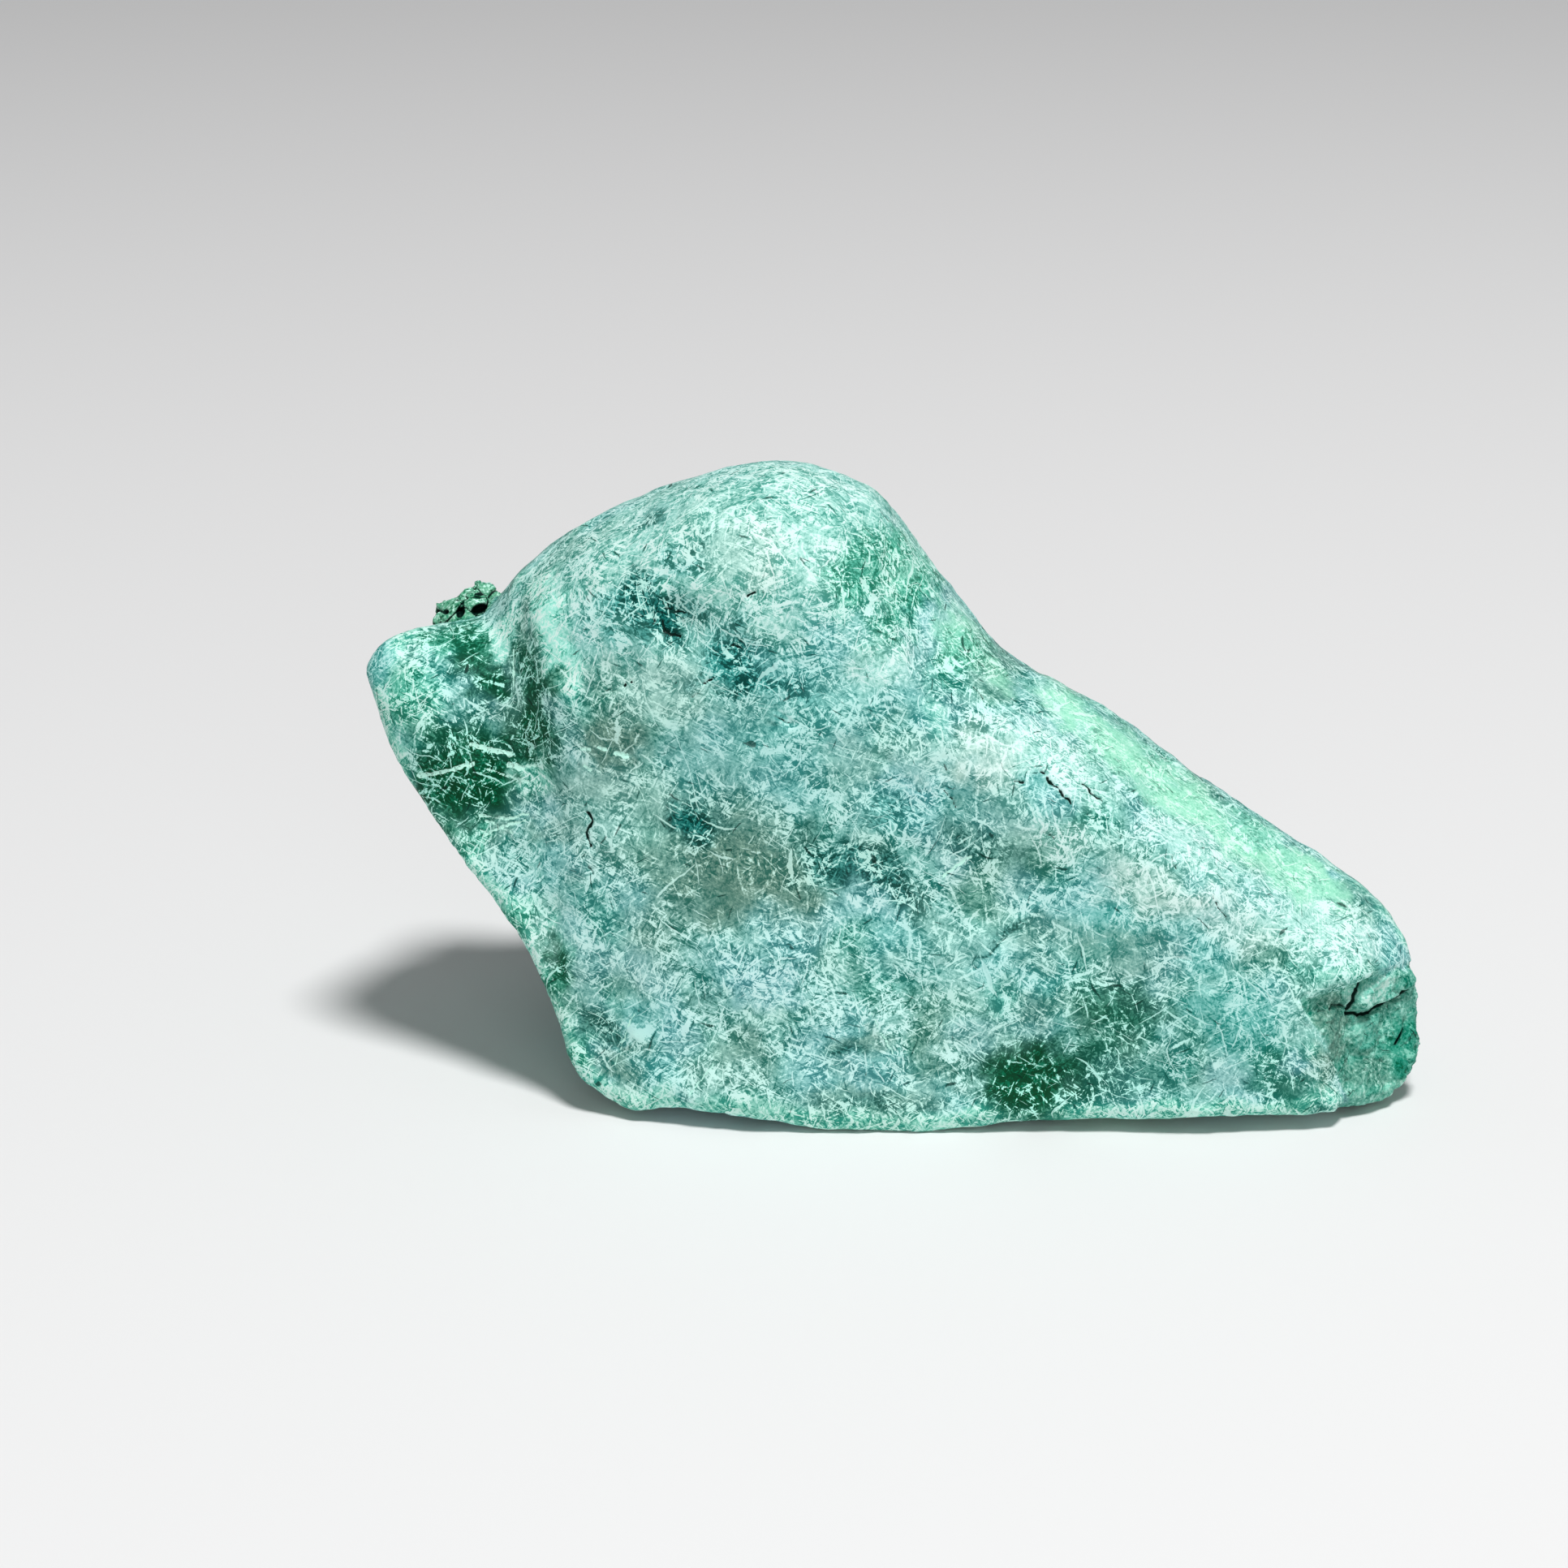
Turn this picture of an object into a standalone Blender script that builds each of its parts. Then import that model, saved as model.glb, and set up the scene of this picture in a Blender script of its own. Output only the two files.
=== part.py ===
"""Raw malachite: one tumbled piece of rough stone, lying on its flattest side.

The blunt nose is at -X, the broken tail at +X, the broad face looks along -Y and +Z is up.
Sizes and places are in millimetres, and MM turns them into Blender's metres.
"""

import bisect
import math
import random

import bmesh
import bpy
from mathutils import Matrix, Vector
from mathutils.bvhtree import BVHTree

MM = 0.001

# Six lines run along the stone from nose to tail, each a list of (x, y, z).
# Rim: the tight lower edge of the broad face.
RIM = [
    (-29.9, -1.0, 22.6), (-28.8, -2.0, 19.9), (-26.7, -3.5, 16.4), (-24.8, -5.0, 13.6),
    (-23.2, -6.0, 11.8), (-21.3, -7.5, 10.0), (-20.4, -8.0, 8.4), (-19.1, -9.0, 5.2),
    (-18.2, -10.0, 2.7), (-17.0, -10.5, 1.6), (-15.9, -11.0, 0.9), (-14.7, -11.5, 0.6),
    (-12.4, -12.0, 1.1), (-10.3, -12.5, 1.1), (-7.7, -13.0, 0.9), (-4.7, -13.0, 0.4),
    (-1.0, -13.0, 0.2), (2.2, -13.0, 0.3), (5.0, -13.0, 0.6), (11.2, -13.0, 0.9),
    (17.3, -13.3, 1.2), (22.9, -12.8, 1.1), (26.7, -11.8, 1.4), (28.6, -10.8, 1.5),
    (29.5, -9.6, 2.4), (29.9, -8.0, 4.2),
]
# Brow: where the broad face turns over into the upper slope.
BROW = [
    (-29.9, -0.5, 22.9), (-28.5, -1.5, 22.8), (-24.7, -2.0, 24.3), (-22.4, -2.8, 24.8),
    (-19.1, -4.0, 28.1), (-15.4, -6.0, 30.4), (-10.0, -7.0, 32.5), (-5.6, -7.0, 33.0),
    (-2.0, -7.0, 31.4), (0.4, -7.3, 28.3), (3.4, -8.0, 23.2), (9.2, -9.0, 19.2),
    (13.3, -9.5, 16.3), (17.8, -10.0, 13.4), (22.4, -10.0, 10.6), (27.1, -9.5, 8.2),
    (29.0, -8.8, 6.6), (29.9, -7.6, 5.0),
]
# Crest: the highest line.
CREST = [
    (-29.9, 0.0, 23.4), (-28.8, 0.0, 24.6), (-26.8, 1.0, 25.1), (-24.6, 2.0, 25.3),
    (-22.9, 2.0, 25.9), (-21.9, 1.0, 27.9), (-19.3, 1.0, 30.0), (-16.5, 1.0, 31.8),
    (-13.8, 1.0, 33.0), (-10.6, 0.0, 34.4), (-6.9, 0.0, 35.2), (-3.3, 0.0, 34.6),
    (-0.8, 0.0, 33.2), (0.8, 0.0, 31.2), (2.7, 0.0, 28.3), (6.0, 0.0, 24.4),
    (9.6, -1.0, 22.2), (13.8, -1.0, 19.5), (18.5, -2.0, 16.5), (23.1, -3.0, 13.4),
    (26.8, -4.0, 11.1), (29.1, -5.0, 8.8), (29.9, -6.4, 5.4),
]
# Nape: the shoulder between the crest and the back.
NAPE = [
    (-29.9, 0.6, 23.3), (-28.0, 4.0, 22.9), (-23.0, 7.5, 23.2), (-20.0, 8.5, 25.4),
    (-15.0, 9.0, 28.2), (-8.0, 9.5, 30.2), (-2.0, 9.0, 28.4), (2.5, 8.5, 24.0),
    (7.0, 8.0, 19.6), (14.0, 7.0, 15.6), (22.0, 3.0, 11.2), (28.0, -1.5, 7.7),
    (29.9, -6.0, 5.2),
]
# Back: the rearmost line.
BACK = [
    (-29.9, 0.7, 23.1), (-27.0, 7.5, 20.5), (-20.0, 11.5, 17.5), (-10.0, 13.5, 15.0),
    (0.0, 13.5, 12.0), (10.0, 12.0, 9.5), (18.0, 9.0, 7.5), (25.0, 4.0, 5.5),
    (28.5, -1.0, 5.0), (29.9, -6.0, 4.9),
]
# Heel: where the back turns under.
HEEL = [
    (-29.9, 0.4, 22.8), (-28.0, 4.5, 18.8), (-24.0, 7.0, 13.5), (-19.0, 8.5, 7.0),
    (-14.0, 10.0, 2.4), (-8.0, 10.5, 0.0), (2.0, 10.5, -0.3), (12.0, 8.0, -0.3),
    (20.0, 5.0, 0.2), (26.0, 0.0, 1.0), (29.0, -4.5, 2.6), (29.9, -6.4, 4.6),
]

# Sections between the lines: how many, and how each one rounds its rim and swells.
STATIONS = 96
SPAN_STEPS = 6
ENDS_EASE = 0.72
EDGE_SHARE = 0.13
FACE_BULGE = 0.5
SOLE_DIP = 0.9
FULL_HEIGHT = 10.0

# Flat breaks that the tumbling has only softened: a point on each and the way it faces.
FACETS = [
    ((-12.0, 12.2, 20.0), (-0.25, 0.90, 0.42)),
    ((6.0, 12.2, 12.0), (0.22, 0.95, -0.05)),
    ((16.0, 8.2, 11.5), (0.42, 0.75, 0.55)),
    ((-24.5, 7.4, 16.0), (-0.62, 0.70, -0.30)),
    ((-15.0, 8.5, 3.5), (-0.40, 0.55, -0.72)),
    ((24.0, 1.5, 2.0), (0.45, 0.50, -0.70)),
]

# Soft swellings (+) and hollows (-) of the surface: start, end, radius and push.
SWELLS = [
    ((-22.6, -3.0, 25.0), (-21.2, -5.0, 16.0), 3.4, -0.75),
    ((-18.8, -4.5, 27.5), (-17.8, -6.5, 20.5), 2.4, 0.5),
    ((-12.6, -8.4, 29.0), (-11.6, -8.7, 28.4), 1.3, -0.6),
    ((-9.2, -8.8, 27.6), (-8.6, -9.0, 27.0), 1.0, -0.35),
    ((-27.5, -2.5, 23.0), (-26.0, -3.5, 19.5), 2.6, 0.5),
    ((-8.5, -7.5, 31.5), (-7.0, -8.0, 30.0), 4.5, 0.45),
    ((-0.6, -6.0, 29.5), (2.2, -7.0, 25.5), 2.6, -0.8),
    ((3.5, -8.5, 22.8), (17.0, -10.0, 14.0), 2.6, 0.7),
    ((-14.0, -9.5, 19.0), (-4.0, -10.5, 14.5), 4.5, -0.6),
    ((8.0, -11.0, 8.0), (18.0, -12.0, 6.5), 4.0, 0.4),
    ((20.5, -11.0, 11.0), (21.5, -12.5, 5.0), 1.6, -0.3),
    ((-12.0, 12.0, 20.0), (-7.0, 12.0, 15.0), 5.0, -1.3),
    ((2.0, 12.0, 12.0), (9.0, 12.0, 9.0), 4.0, -0.8),
    ((-1.0, 11.0, 22.0), (4.0, 10.0, 17.0), 3.0, 0.9),
    ((16.0, 8.0, 11.5), (20.0, 5.0, 8.0), 3.0, -0.6),
    ((-23.0, 8.0, 15.0), (-19.0, 9.0, 9.0), 3.0, -0.7),
]

# Small pits in the broad face: centre and radius.
PITS = [
    ((-12.3, -9.1, 28.7), 0.7), ((-11.4, -9.2, 27.9), 0.5), ((-8.9, -9.3, 27.2), 0.5),
    ((-11.4, -10.9, 17.2), 0.6),
]

# The raw crust behind the nose: heaps of angular crystal blocks that the tumbling missed.
# Each heap has a centre, a spread, a count of blocks and their smallest and largest size,
# and each hole has a centre and a radius.
CRUST_HEAPS = [
    ((-24.55, 5.4, 24.5), (1.2, 1.2, 0.9), 18, (1.2, 1.9)),
    ((-21.5, 8.0, 21.5), (2.8, 1.0, 2.2), 26, (1.6, 3.2)),
    ((-17.5, 10.0, 19.5), (2.6, 1.0, 2.6), 20, (1.4, 2.6)),
]
CRUST_HOLES = [((-23.5, 3.6, 25.4), 0.62), ((-24.8, 3.6, 24.9), 0.45), ((-25.2, 5.0, 26.2), 0.4)]
CRUST_BEVEL = 0.14
CRUST_SEED = 7

# The broken end: a raw face across the front corner of the tail. Its outline and its clefts
# are drawn in the face's own plane, u across and v up from BREAK_POINT. It ends above v of
# BREAK_TOP and left of a line that leans from BREAK_CORNER, with walls that rise at the
# slopes BREAK_WALLS. Each cleft has a start, an end, a half-width and a depth.
BREAK_POINT = (25.5, -10.1, 5.0)
BREAK_NORMAL = (0.60, -0.80, 0.35)
BREAK_REACH, BREAK_CELLS = 8.0, 56
BREAK_TOP = 2.6
BREAK_CORNER = -3.2
BREAK_LEAN = 0.38
BREAK_WALLS = (3.0, 0.6)
BREAK_STEP = 0.22
BREAK_RIPPLE = 0.16
BREAK_CLEFTS = [
    ((-1.9, 1.4), (-1.2, 1.75), 0.20, 0.5),
    ((0.1, 2.2), (0.35, 0.9), 0.26, 0.9),
    ((0.35, 0.9), (1.65, 1.0), 0.26, 0.9),
    ((1.65, 1.0), (2.7, 1.5), 0.24, 0.8),
    ((2.7, 0.1), (2.45, -1.0), 0.26, 0.9),
    ((-0.4, -0.4), (0.2, -2.2), 0.30, 0.4),
]

# The finish: voxel size, smoothing, the height and width of a faint unevenness, triangles.
VOXEL = 0.36
SOFTEN_PASSES = 5
UNDULATION, UNDULATION_SIZE = 0.45, 5.0
TRIANGLES = 8600
SHARP_DEGREES = 50

MALACHITE_GREEN = (0.17, 0.46, 0.37, 1.0)
ROUGHNESS = 0.55


def clear_scene():
    for old in list(bpy.data.objects):
        bpy.data.objects.remove(old, do_unlink=True)


def new_collection(name, hidden=False):
    collection = bpy.data.collections.new(name)
    collection.hide_render = hidden
    bpy.context.scene.collection.children.link(collection)
    return collection


def new_object(name, bm, collection):
    mesh = bpy.data.meshes.new(name)
    bm.to_mesh(mesh)
    bm.free()
    made = bpy.data.objects.new(name, mesh)
    collection.objects.link(made)
    return made


def as_cutter(made):
    made.hide_render = True
    made.display_type = "WIRE"
    return made


def point_at(line, x):
    """The point of a long line at x, on a smooth curve through the line's own points."""
    i = min(max(bisect.bisect_right([p[0] for p in line], x) - 1, 0), len(line) - 2)
    before, start, end, after = (
        Vector(line[max(i - 1, 0)]), Vector(line[i]),
        Vector(line[i + 1]), Vector(line[min(i + 2, len(line) - 1)]),
    )
    width = end.x - start.x
    t = (x - start.x) / width
    leave = (end - before) * (width / (end.x - before.x))
    arrive = (after - start) * (width / (after.x - start.x))
    point = (
        start * (2 * t**3 - 3 * t**2 + 1) + leave * (t**3 - 2 * t**2 + t)
        + end * (3 * t**2 - 2 * t**3) + arrive * (t**3 - t**2)
    )
    point.x = x
    return point


def centripetal(before, start, end, after, share):
    """A point of a centripetal Catmull-Rom span, which never overshoots a tight corner."""
    knots = [0.0]
    for a, b in ((before, start), (start, end), (end, after)):
        knots.append(knots[-1] + max(math.sqrt((b - a).length), 1e-4))
    t = knots[1] + share * (knots[2] - knots[1])

    def blend(a, b, first, last):
        return a.lerp(b, (t - knots[first]) / (knots[last] - knots[first]))

    middle = blend(start, end, 1, 2)
    lower = blend(blend(before, start, 0, 1), middle, 0, 2)
    upper = blend(middle, blend(end, after, 2, 3), 1, 3)
    return blend(lower, upper, 1, 2)


def section(x):
    """The closed outline of the stone across its length at x."""
    rim, brow, crest, nape, back, heel = (
        point_at(line, x) for line in (RIM, BROW, CREST, NAPE, BACK, HEEL)
    )
    height = min(1.0, (crest.z - rim.z) / FULL_HEIGHT)
    face = rim.lerp(brow, 0.5) + Vector((0, -FACE_BULGE * height, 0))
    sole = rim.lerp(heel, 0.5) + Vector((0, 0, -SOLE_DIP * height))
    corners = [
        rim, rim.lerp(brow, EDGE_SHARE), face, brow, crest,
        nape, back, heel, sole, rim.lerp(sole, EDGE_SHARE * 2),
    ]
    count = len(corners)
    return [
        centripetal(
            corners[i - 1], corners[i], corners[(i + 1) % count], corners[(i + 2) % count],
            step / SPAN_STEPS,
        )
        for i in range(count)
        for step in range(SPAN_STEPS)
    ]


def station_x(share):
    """The x of a section, closer together towards the rounded ends."""
    eased = 0.5 + math.sin((share - 0.5) * math.pi) / 2
    share += ENDS_EASE * (eased - share)
    return CREST[0][0] + (CREST[-1][0] - CREST[0][0]) * share


def loft_body(collection):
    bm = bmesh.new()
    rings = [
        [bm.verts.new(p * MM) for p in section(station_x(i / (STATIONS - 1)))]
        for i in range(STATIONS)
    ]
    for ring, following in zip(rings, rings[1:]):
        for i in range(len(ring)):
            bm.faces.new((ring[i - 1], ring[i], following[i], following[i - 1]))
    bm.faces.new(rings[0][::-1])
    bm.faces.new(rings[-1])
    bmesh.ops.recalc_face_normals(bm, faces=bm.faces)
    return new_object("malachite_body", bm, collection)


def distance_to_segment(point, start, end):
    run = end - start
    share = (point - start).dot(run) / run.length_squared
    return (point - start.lerp(end, min(max(share, 0.0), 1.0))).length


def cut_by_plane(bm, point, normal):
    """Takes away what lies beyond the plane and closes the cut with a flat face."""
    cut = bmesh.ops.bisect_plane(
        bm, geom=bm.verts[:] + bm.edges[:] + bm.faces[:], dist=1e-6,
        plane_co=Vector(point) * MM, plane_no=Vector(normal), clear_outer=True,
    )
    edges = [e for e in cut["geom_cut"] if isinstance(e, bmesh.types.BMEdge)]
    bmesh.ops.holes_fill(bm, edges=edges)
    bmesh.ops.recalc_face_normals(bm, faces=bm.faces)


def break_facets(body):
    bm = bmesh.new()
    bm.from_mesh(body.data)
    for point, normal in FACETS:
        cut_by_plane(bm, point, normal)
    bm.to_mesh(body.data)
    bm.free()


def add_crystal(bm, chance, centre, size):
    """One angular block: a bevelled cube, turned at random and longer one way."""
    stretch = (1.0, chance.uniform(0.6, 0.9), chance.uniform(0.7, 1.2))
    axis = Vector(chance.uniform(-1, 1) for _ in range(3)).normalized()
    turn = Matrix.Rotation(chance.uniform(0, math.pi), 4, axis)
    place = Matrix.Translation(centre * MM) @ turn @ Matrix.Diagonal((*stretch, 1.0))
    block = bmesh.ops.create_cube(bm, size=size * MM, matrix=place)["verts"]
    edges = list(dict.fromkeys(e for v in block for e in v.link_edges))
    bmesh.ops.bevel(
        bm, geom=block + edges, offset=size * CRUST_BEVEL * MM, segments=1, affect="EDGES"
    )


def grow_crust(body, collection):
    chance = random.Random(CRUST_SEED)
    bm = bmesh.new()
    for centre, spread, count, sizes in CRUST_HEAPS:
        for _ in range(count):
            at = Vector(c + chance.uniform(-s, s) for c, s in zip(centre, spread))
            add_crystal(bm, chance, at, chance.uniform(*sizes))
    join = body.modifiers.new("crust", "BOOLEAN")
    join.operation = "UNION"
    join.object = as_cutter(new_object("crust_blocks", bm, collection))
    join.use_self = True


def break_relief(u, v):
    """How far the broken face stands out of its plane at (u, v): steps, ripples and clefts."""
    step = BREAK_STEP * math.floor(0.6 * v + 0.3 * math.sin(1.9 * u) + 0.25 * u)
    ripple = BREAK_RIPPLE * math.sin(2.3 * u + 1.1 * v) * math.sin(2.0 * v - 0.9 * u)
    here = Vector((u, v, 0.0))
    cleft = 0.0
    for start, end, width, depth in BREAK_CLEFTS:
        away = distance_to_segment(here, Vector((*start, 0.0)), Vector((*end, 0.0)))
        cleft += depth * math.exp(-((away / width) ** 2))
    top_slope, side_slope = BREAK_WALLS
    above = max(0.0, v - BREAK_TOP)
    beside = max(0.0, BREAK_CORNER + BREAK_LEAN * (BREAK_TOP - v) - u)
    return step + ripple - cleft + top_slope * above + side_slope * beside


def break_cutter(collection):
    """A block whose near side is the broken face."""
    bm = bmesh.new()
    bmesh.ops.create_grid(
        bm, x_segments=BREAK_CELLS, y_segments=BREAK_CELLS, size=BREAK_REACH
    )
    for v in bm.verts:
        v.co.z = break_relief(v.co.x, v.co.y)
    top = max(v.co.z for v in bm.verts) + BREAK_REACH
    lid = bmesh.ops.extrude_face_region(bm, geom=bm.faces[:])
    for v in (g for g in lid["geom"] if isinstance(g, bmesh.types.BMVert)):
        v.co.z = top
    bmesh.ops.scale(bm, vec=(MM, MM, MM), verts=bm.verts)
    bmesh.ops.recalc_face_normals(bm, faces=bm.faces)
    cutter = as_cutter(new_object("break_cutter", bm, collection))
    cutter.location = Vector(BREAK_POINT) * MM
    cutter.rotation_euler = Vector(BREAK_NORMAL).to_track_quat("Z", "Y").to_euler()
    return cutter


def break_tail(body, collection):
    cut = body.modifiers.new("broken end", "BOOLEAN")
    cut.operation = "DIFFERENCE"
    cut.object = break_cutter(collection)


def pit_surface(body, collection):
    bm = bmesh.new()
    for centre, radius in PITS + CRUST_HOLES:
        bmesh.ops.create_icosphere(
            bm, subdivisions=2, radius=radius * MM, matrix=Matrix.Translation(Vector(centre) * MM)
        )
    cut = body.modifiers.new("pits", "BOOLEAN")
    cut.operation = "DIFFERENCE"
    cut.object = as_cutter(new_object("pit_cutter", bm, collection))
    cut.use_self = True


def evaluated_copy(body, name, collection):
    """A new object that holds the mesh as the body's modifiers leave it."""
    bpy.context.view_layer.update()
    graph = bpy.context.evaluated_depsgraph_get()
    made = bpy.data.objects.new(name, bpy.data.meshes.new_from_object(body.evaluated_get(graph)))
    collection.objects.link(made)
    return made


def tumble(body):
    """Joins everything into one skin and rounds its edges as tumbling does."""
    skin = body.modifiers.new("skin", "REMESH")
    skin.mode = "VOXEL"
    skin.voxel_size = VOXEL * MM
    soften = body.modifiers.new("soften", "SMOOTH")
    soften.factor = 0.5
    soften.iterations = SOFTEN_PASSES


def push_surface(body):
    """Raises or sinks the surface along each swell, which is first laid onto the surface."""
    bm = bmesh.new()
    bm.from_mesh(body.data)
    for start, end, radius, push in SWELLS:
        tree = BVHTree.FromBMesh(bm)
        start, end = (tree.find_nearest(Vector(p) * MM)[0] for p in (start, end))
        bm.normal_update()
        moves = [
            v.normal * push * MM
            * math.exp(-((distance_to_segment(v.co, start, end) / (radius * MM)) ** 2))
            for v in bm.verts
        ]
        for v, move in zip(bm.verts, moves):
            v.co += move
    bm.to_mesh(body.data)
    bm.free()


def make_uneven(body):
    clouds = bpy.data.textures.new("undulation", "CLOUDS")
    clouds.noise_scale = UNDULATION_SIZE * MM
    uneven = body.modifiers.new("uneven", "DISPLACE")
    uneven.texture = clouds
    uneven.strength = UNDULATION * MM
    uneven.mid_level = 0.5


def thin_out(body):
    """Keeps the triangles where the surface is rough and merges them where it is smooth."""
    body.data.calc_loop_triangles()
    thin = body.modifiers.new("thin out", "DECIMATE")
    thin.ratio = TRIANGLES / len(body.data.loop_triangles)
    thin.use_collapse_triangulate = True


def rest_flat(stone):
    """Cuts the stone flat where it rests and centres its box over the origin."""
    bm = bmesh.new()
    bm.from_mesh(stone.data)
    cut_by_plane(bm, (0, 0, 0), (0, 0, -1))
    middle = [
        (min(v.co[axis] for v in bm.verts) + max(v.co[axis] for v in bm.verts)) / 2
        for axis in (0, 1)
    ]
    bmesh.ops.translate(bm, vec=(-middle[0], -middle[1], 0), verts=bm.verts)
    bm.to_mesh(stone.data)
    bm.free()


def malachite_material():
    material = bpy.data.materials.new("malachite")
    material.use_nodes = True
    shader = material.node_tree.nodes["Principled BSDF"]
    shader.inputs["Base Color"].default_value = MALACHITE_GREEN
    shader.inputs["Roughness"].default_value = ROUGHNESS
    shader.inputs["Metallic"].default_value = 0.0
    return material


def main():
    clear_scene()
    stone_collection = new_collection("raw malachite")
    helpers = new_collection("cutters", hidden=True)
    rough = as_cutter(loft_body(helpers))
    break_facets(rough)
    grow_crust(rough, helpers)
    break_tail(rough, helpers)
    pit_surface(rough, helpers)
    tumble(rough)
    skin = as_cutter(evaluated_copy(rough, "malachite_skin", helpers))
    push_surface(skin)
    make_uneven(skin)
    thin_out(skin)
    stone = evaluated_copy(skin, "malachite", stone_collection)
    rest_flat(stone)
    stone.data.shade_smooth()
    stone.data.set_sharp_from_angle(angle=math.radians(SHARP_DEGREES))
    stone.data.materials.append(malachite_material())


main()
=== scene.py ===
import bpy
import bmesh
import math
import numpy as np
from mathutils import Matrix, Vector, noise
from mathutils.bvhtree import BVHTree


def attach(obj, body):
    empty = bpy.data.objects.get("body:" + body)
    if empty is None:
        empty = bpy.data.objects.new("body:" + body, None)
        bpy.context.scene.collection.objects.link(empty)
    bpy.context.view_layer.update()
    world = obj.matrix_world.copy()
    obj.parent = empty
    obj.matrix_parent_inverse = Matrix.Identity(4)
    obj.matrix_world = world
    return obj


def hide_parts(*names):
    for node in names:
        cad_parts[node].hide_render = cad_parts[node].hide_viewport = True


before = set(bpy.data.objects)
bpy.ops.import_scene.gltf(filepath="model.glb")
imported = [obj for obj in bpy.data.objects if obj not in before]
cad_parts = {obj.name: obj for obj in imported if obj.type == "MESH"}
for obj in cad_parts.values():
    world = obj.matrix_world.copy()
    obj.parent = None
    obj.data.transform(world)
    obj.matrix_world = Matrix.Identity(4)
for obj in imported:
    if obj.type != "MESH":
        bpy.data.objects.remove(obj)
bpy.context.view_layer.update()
noise.seed_set(11)      # else the swirls change with each run
mm = 0.001
farAway = 200           # mm, well clear of the stone

# Markings are placed on the front face as (mm to the right, mm up), looked at
# from this many degrees above the floor, and dropped straight onto the stone.
faceTilt = math.radians(20)
faceRight = Vector((1, 0, 0))
faceUp = Vector((0, math.sin(faceTilt), math.cos(faceTilt)))
faceOut = Vector((0, -math.cos(faceTilt), math.sin(faceTilt)))


def say(text):
    print("scene:", text)


def shade(hexColour):
    # a screen colour such as "6fa9a6" as the linear values Blender mixes in
    parts = [int(hexColour[i:i + 2], 16) / 255 for i in (0, 2, 4)]
    return np.array([p / 12.92 if p <= 0.04045 else ((p + 0.055) / 1.055) ** 2.4
                     for p in parts])


def ease(values, low, high):
    t = np.clip((values - low) / (high - low), 0, 1)
    return t * t * (3 - 2 * t)


# The shift gives each use its own part of the noise.
def noiseOver(points, size, shift):
    move = Vector((shift, shift * 0.7, -shift * 1.3))
    sample = noise.noise
    return np.fromiter((sample(Vector(p) + move) for p in (points / size).tolist()),
                       float, len(points))


def swirlOver(points, size, shift):
    move = Vector((shift, -shift * 0.6, shift * 1.1))
    sample = noise.noise_vector
    return np.array([sample(Vector(p) + move)[:] for p in (points / size).tolist()])


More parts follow.
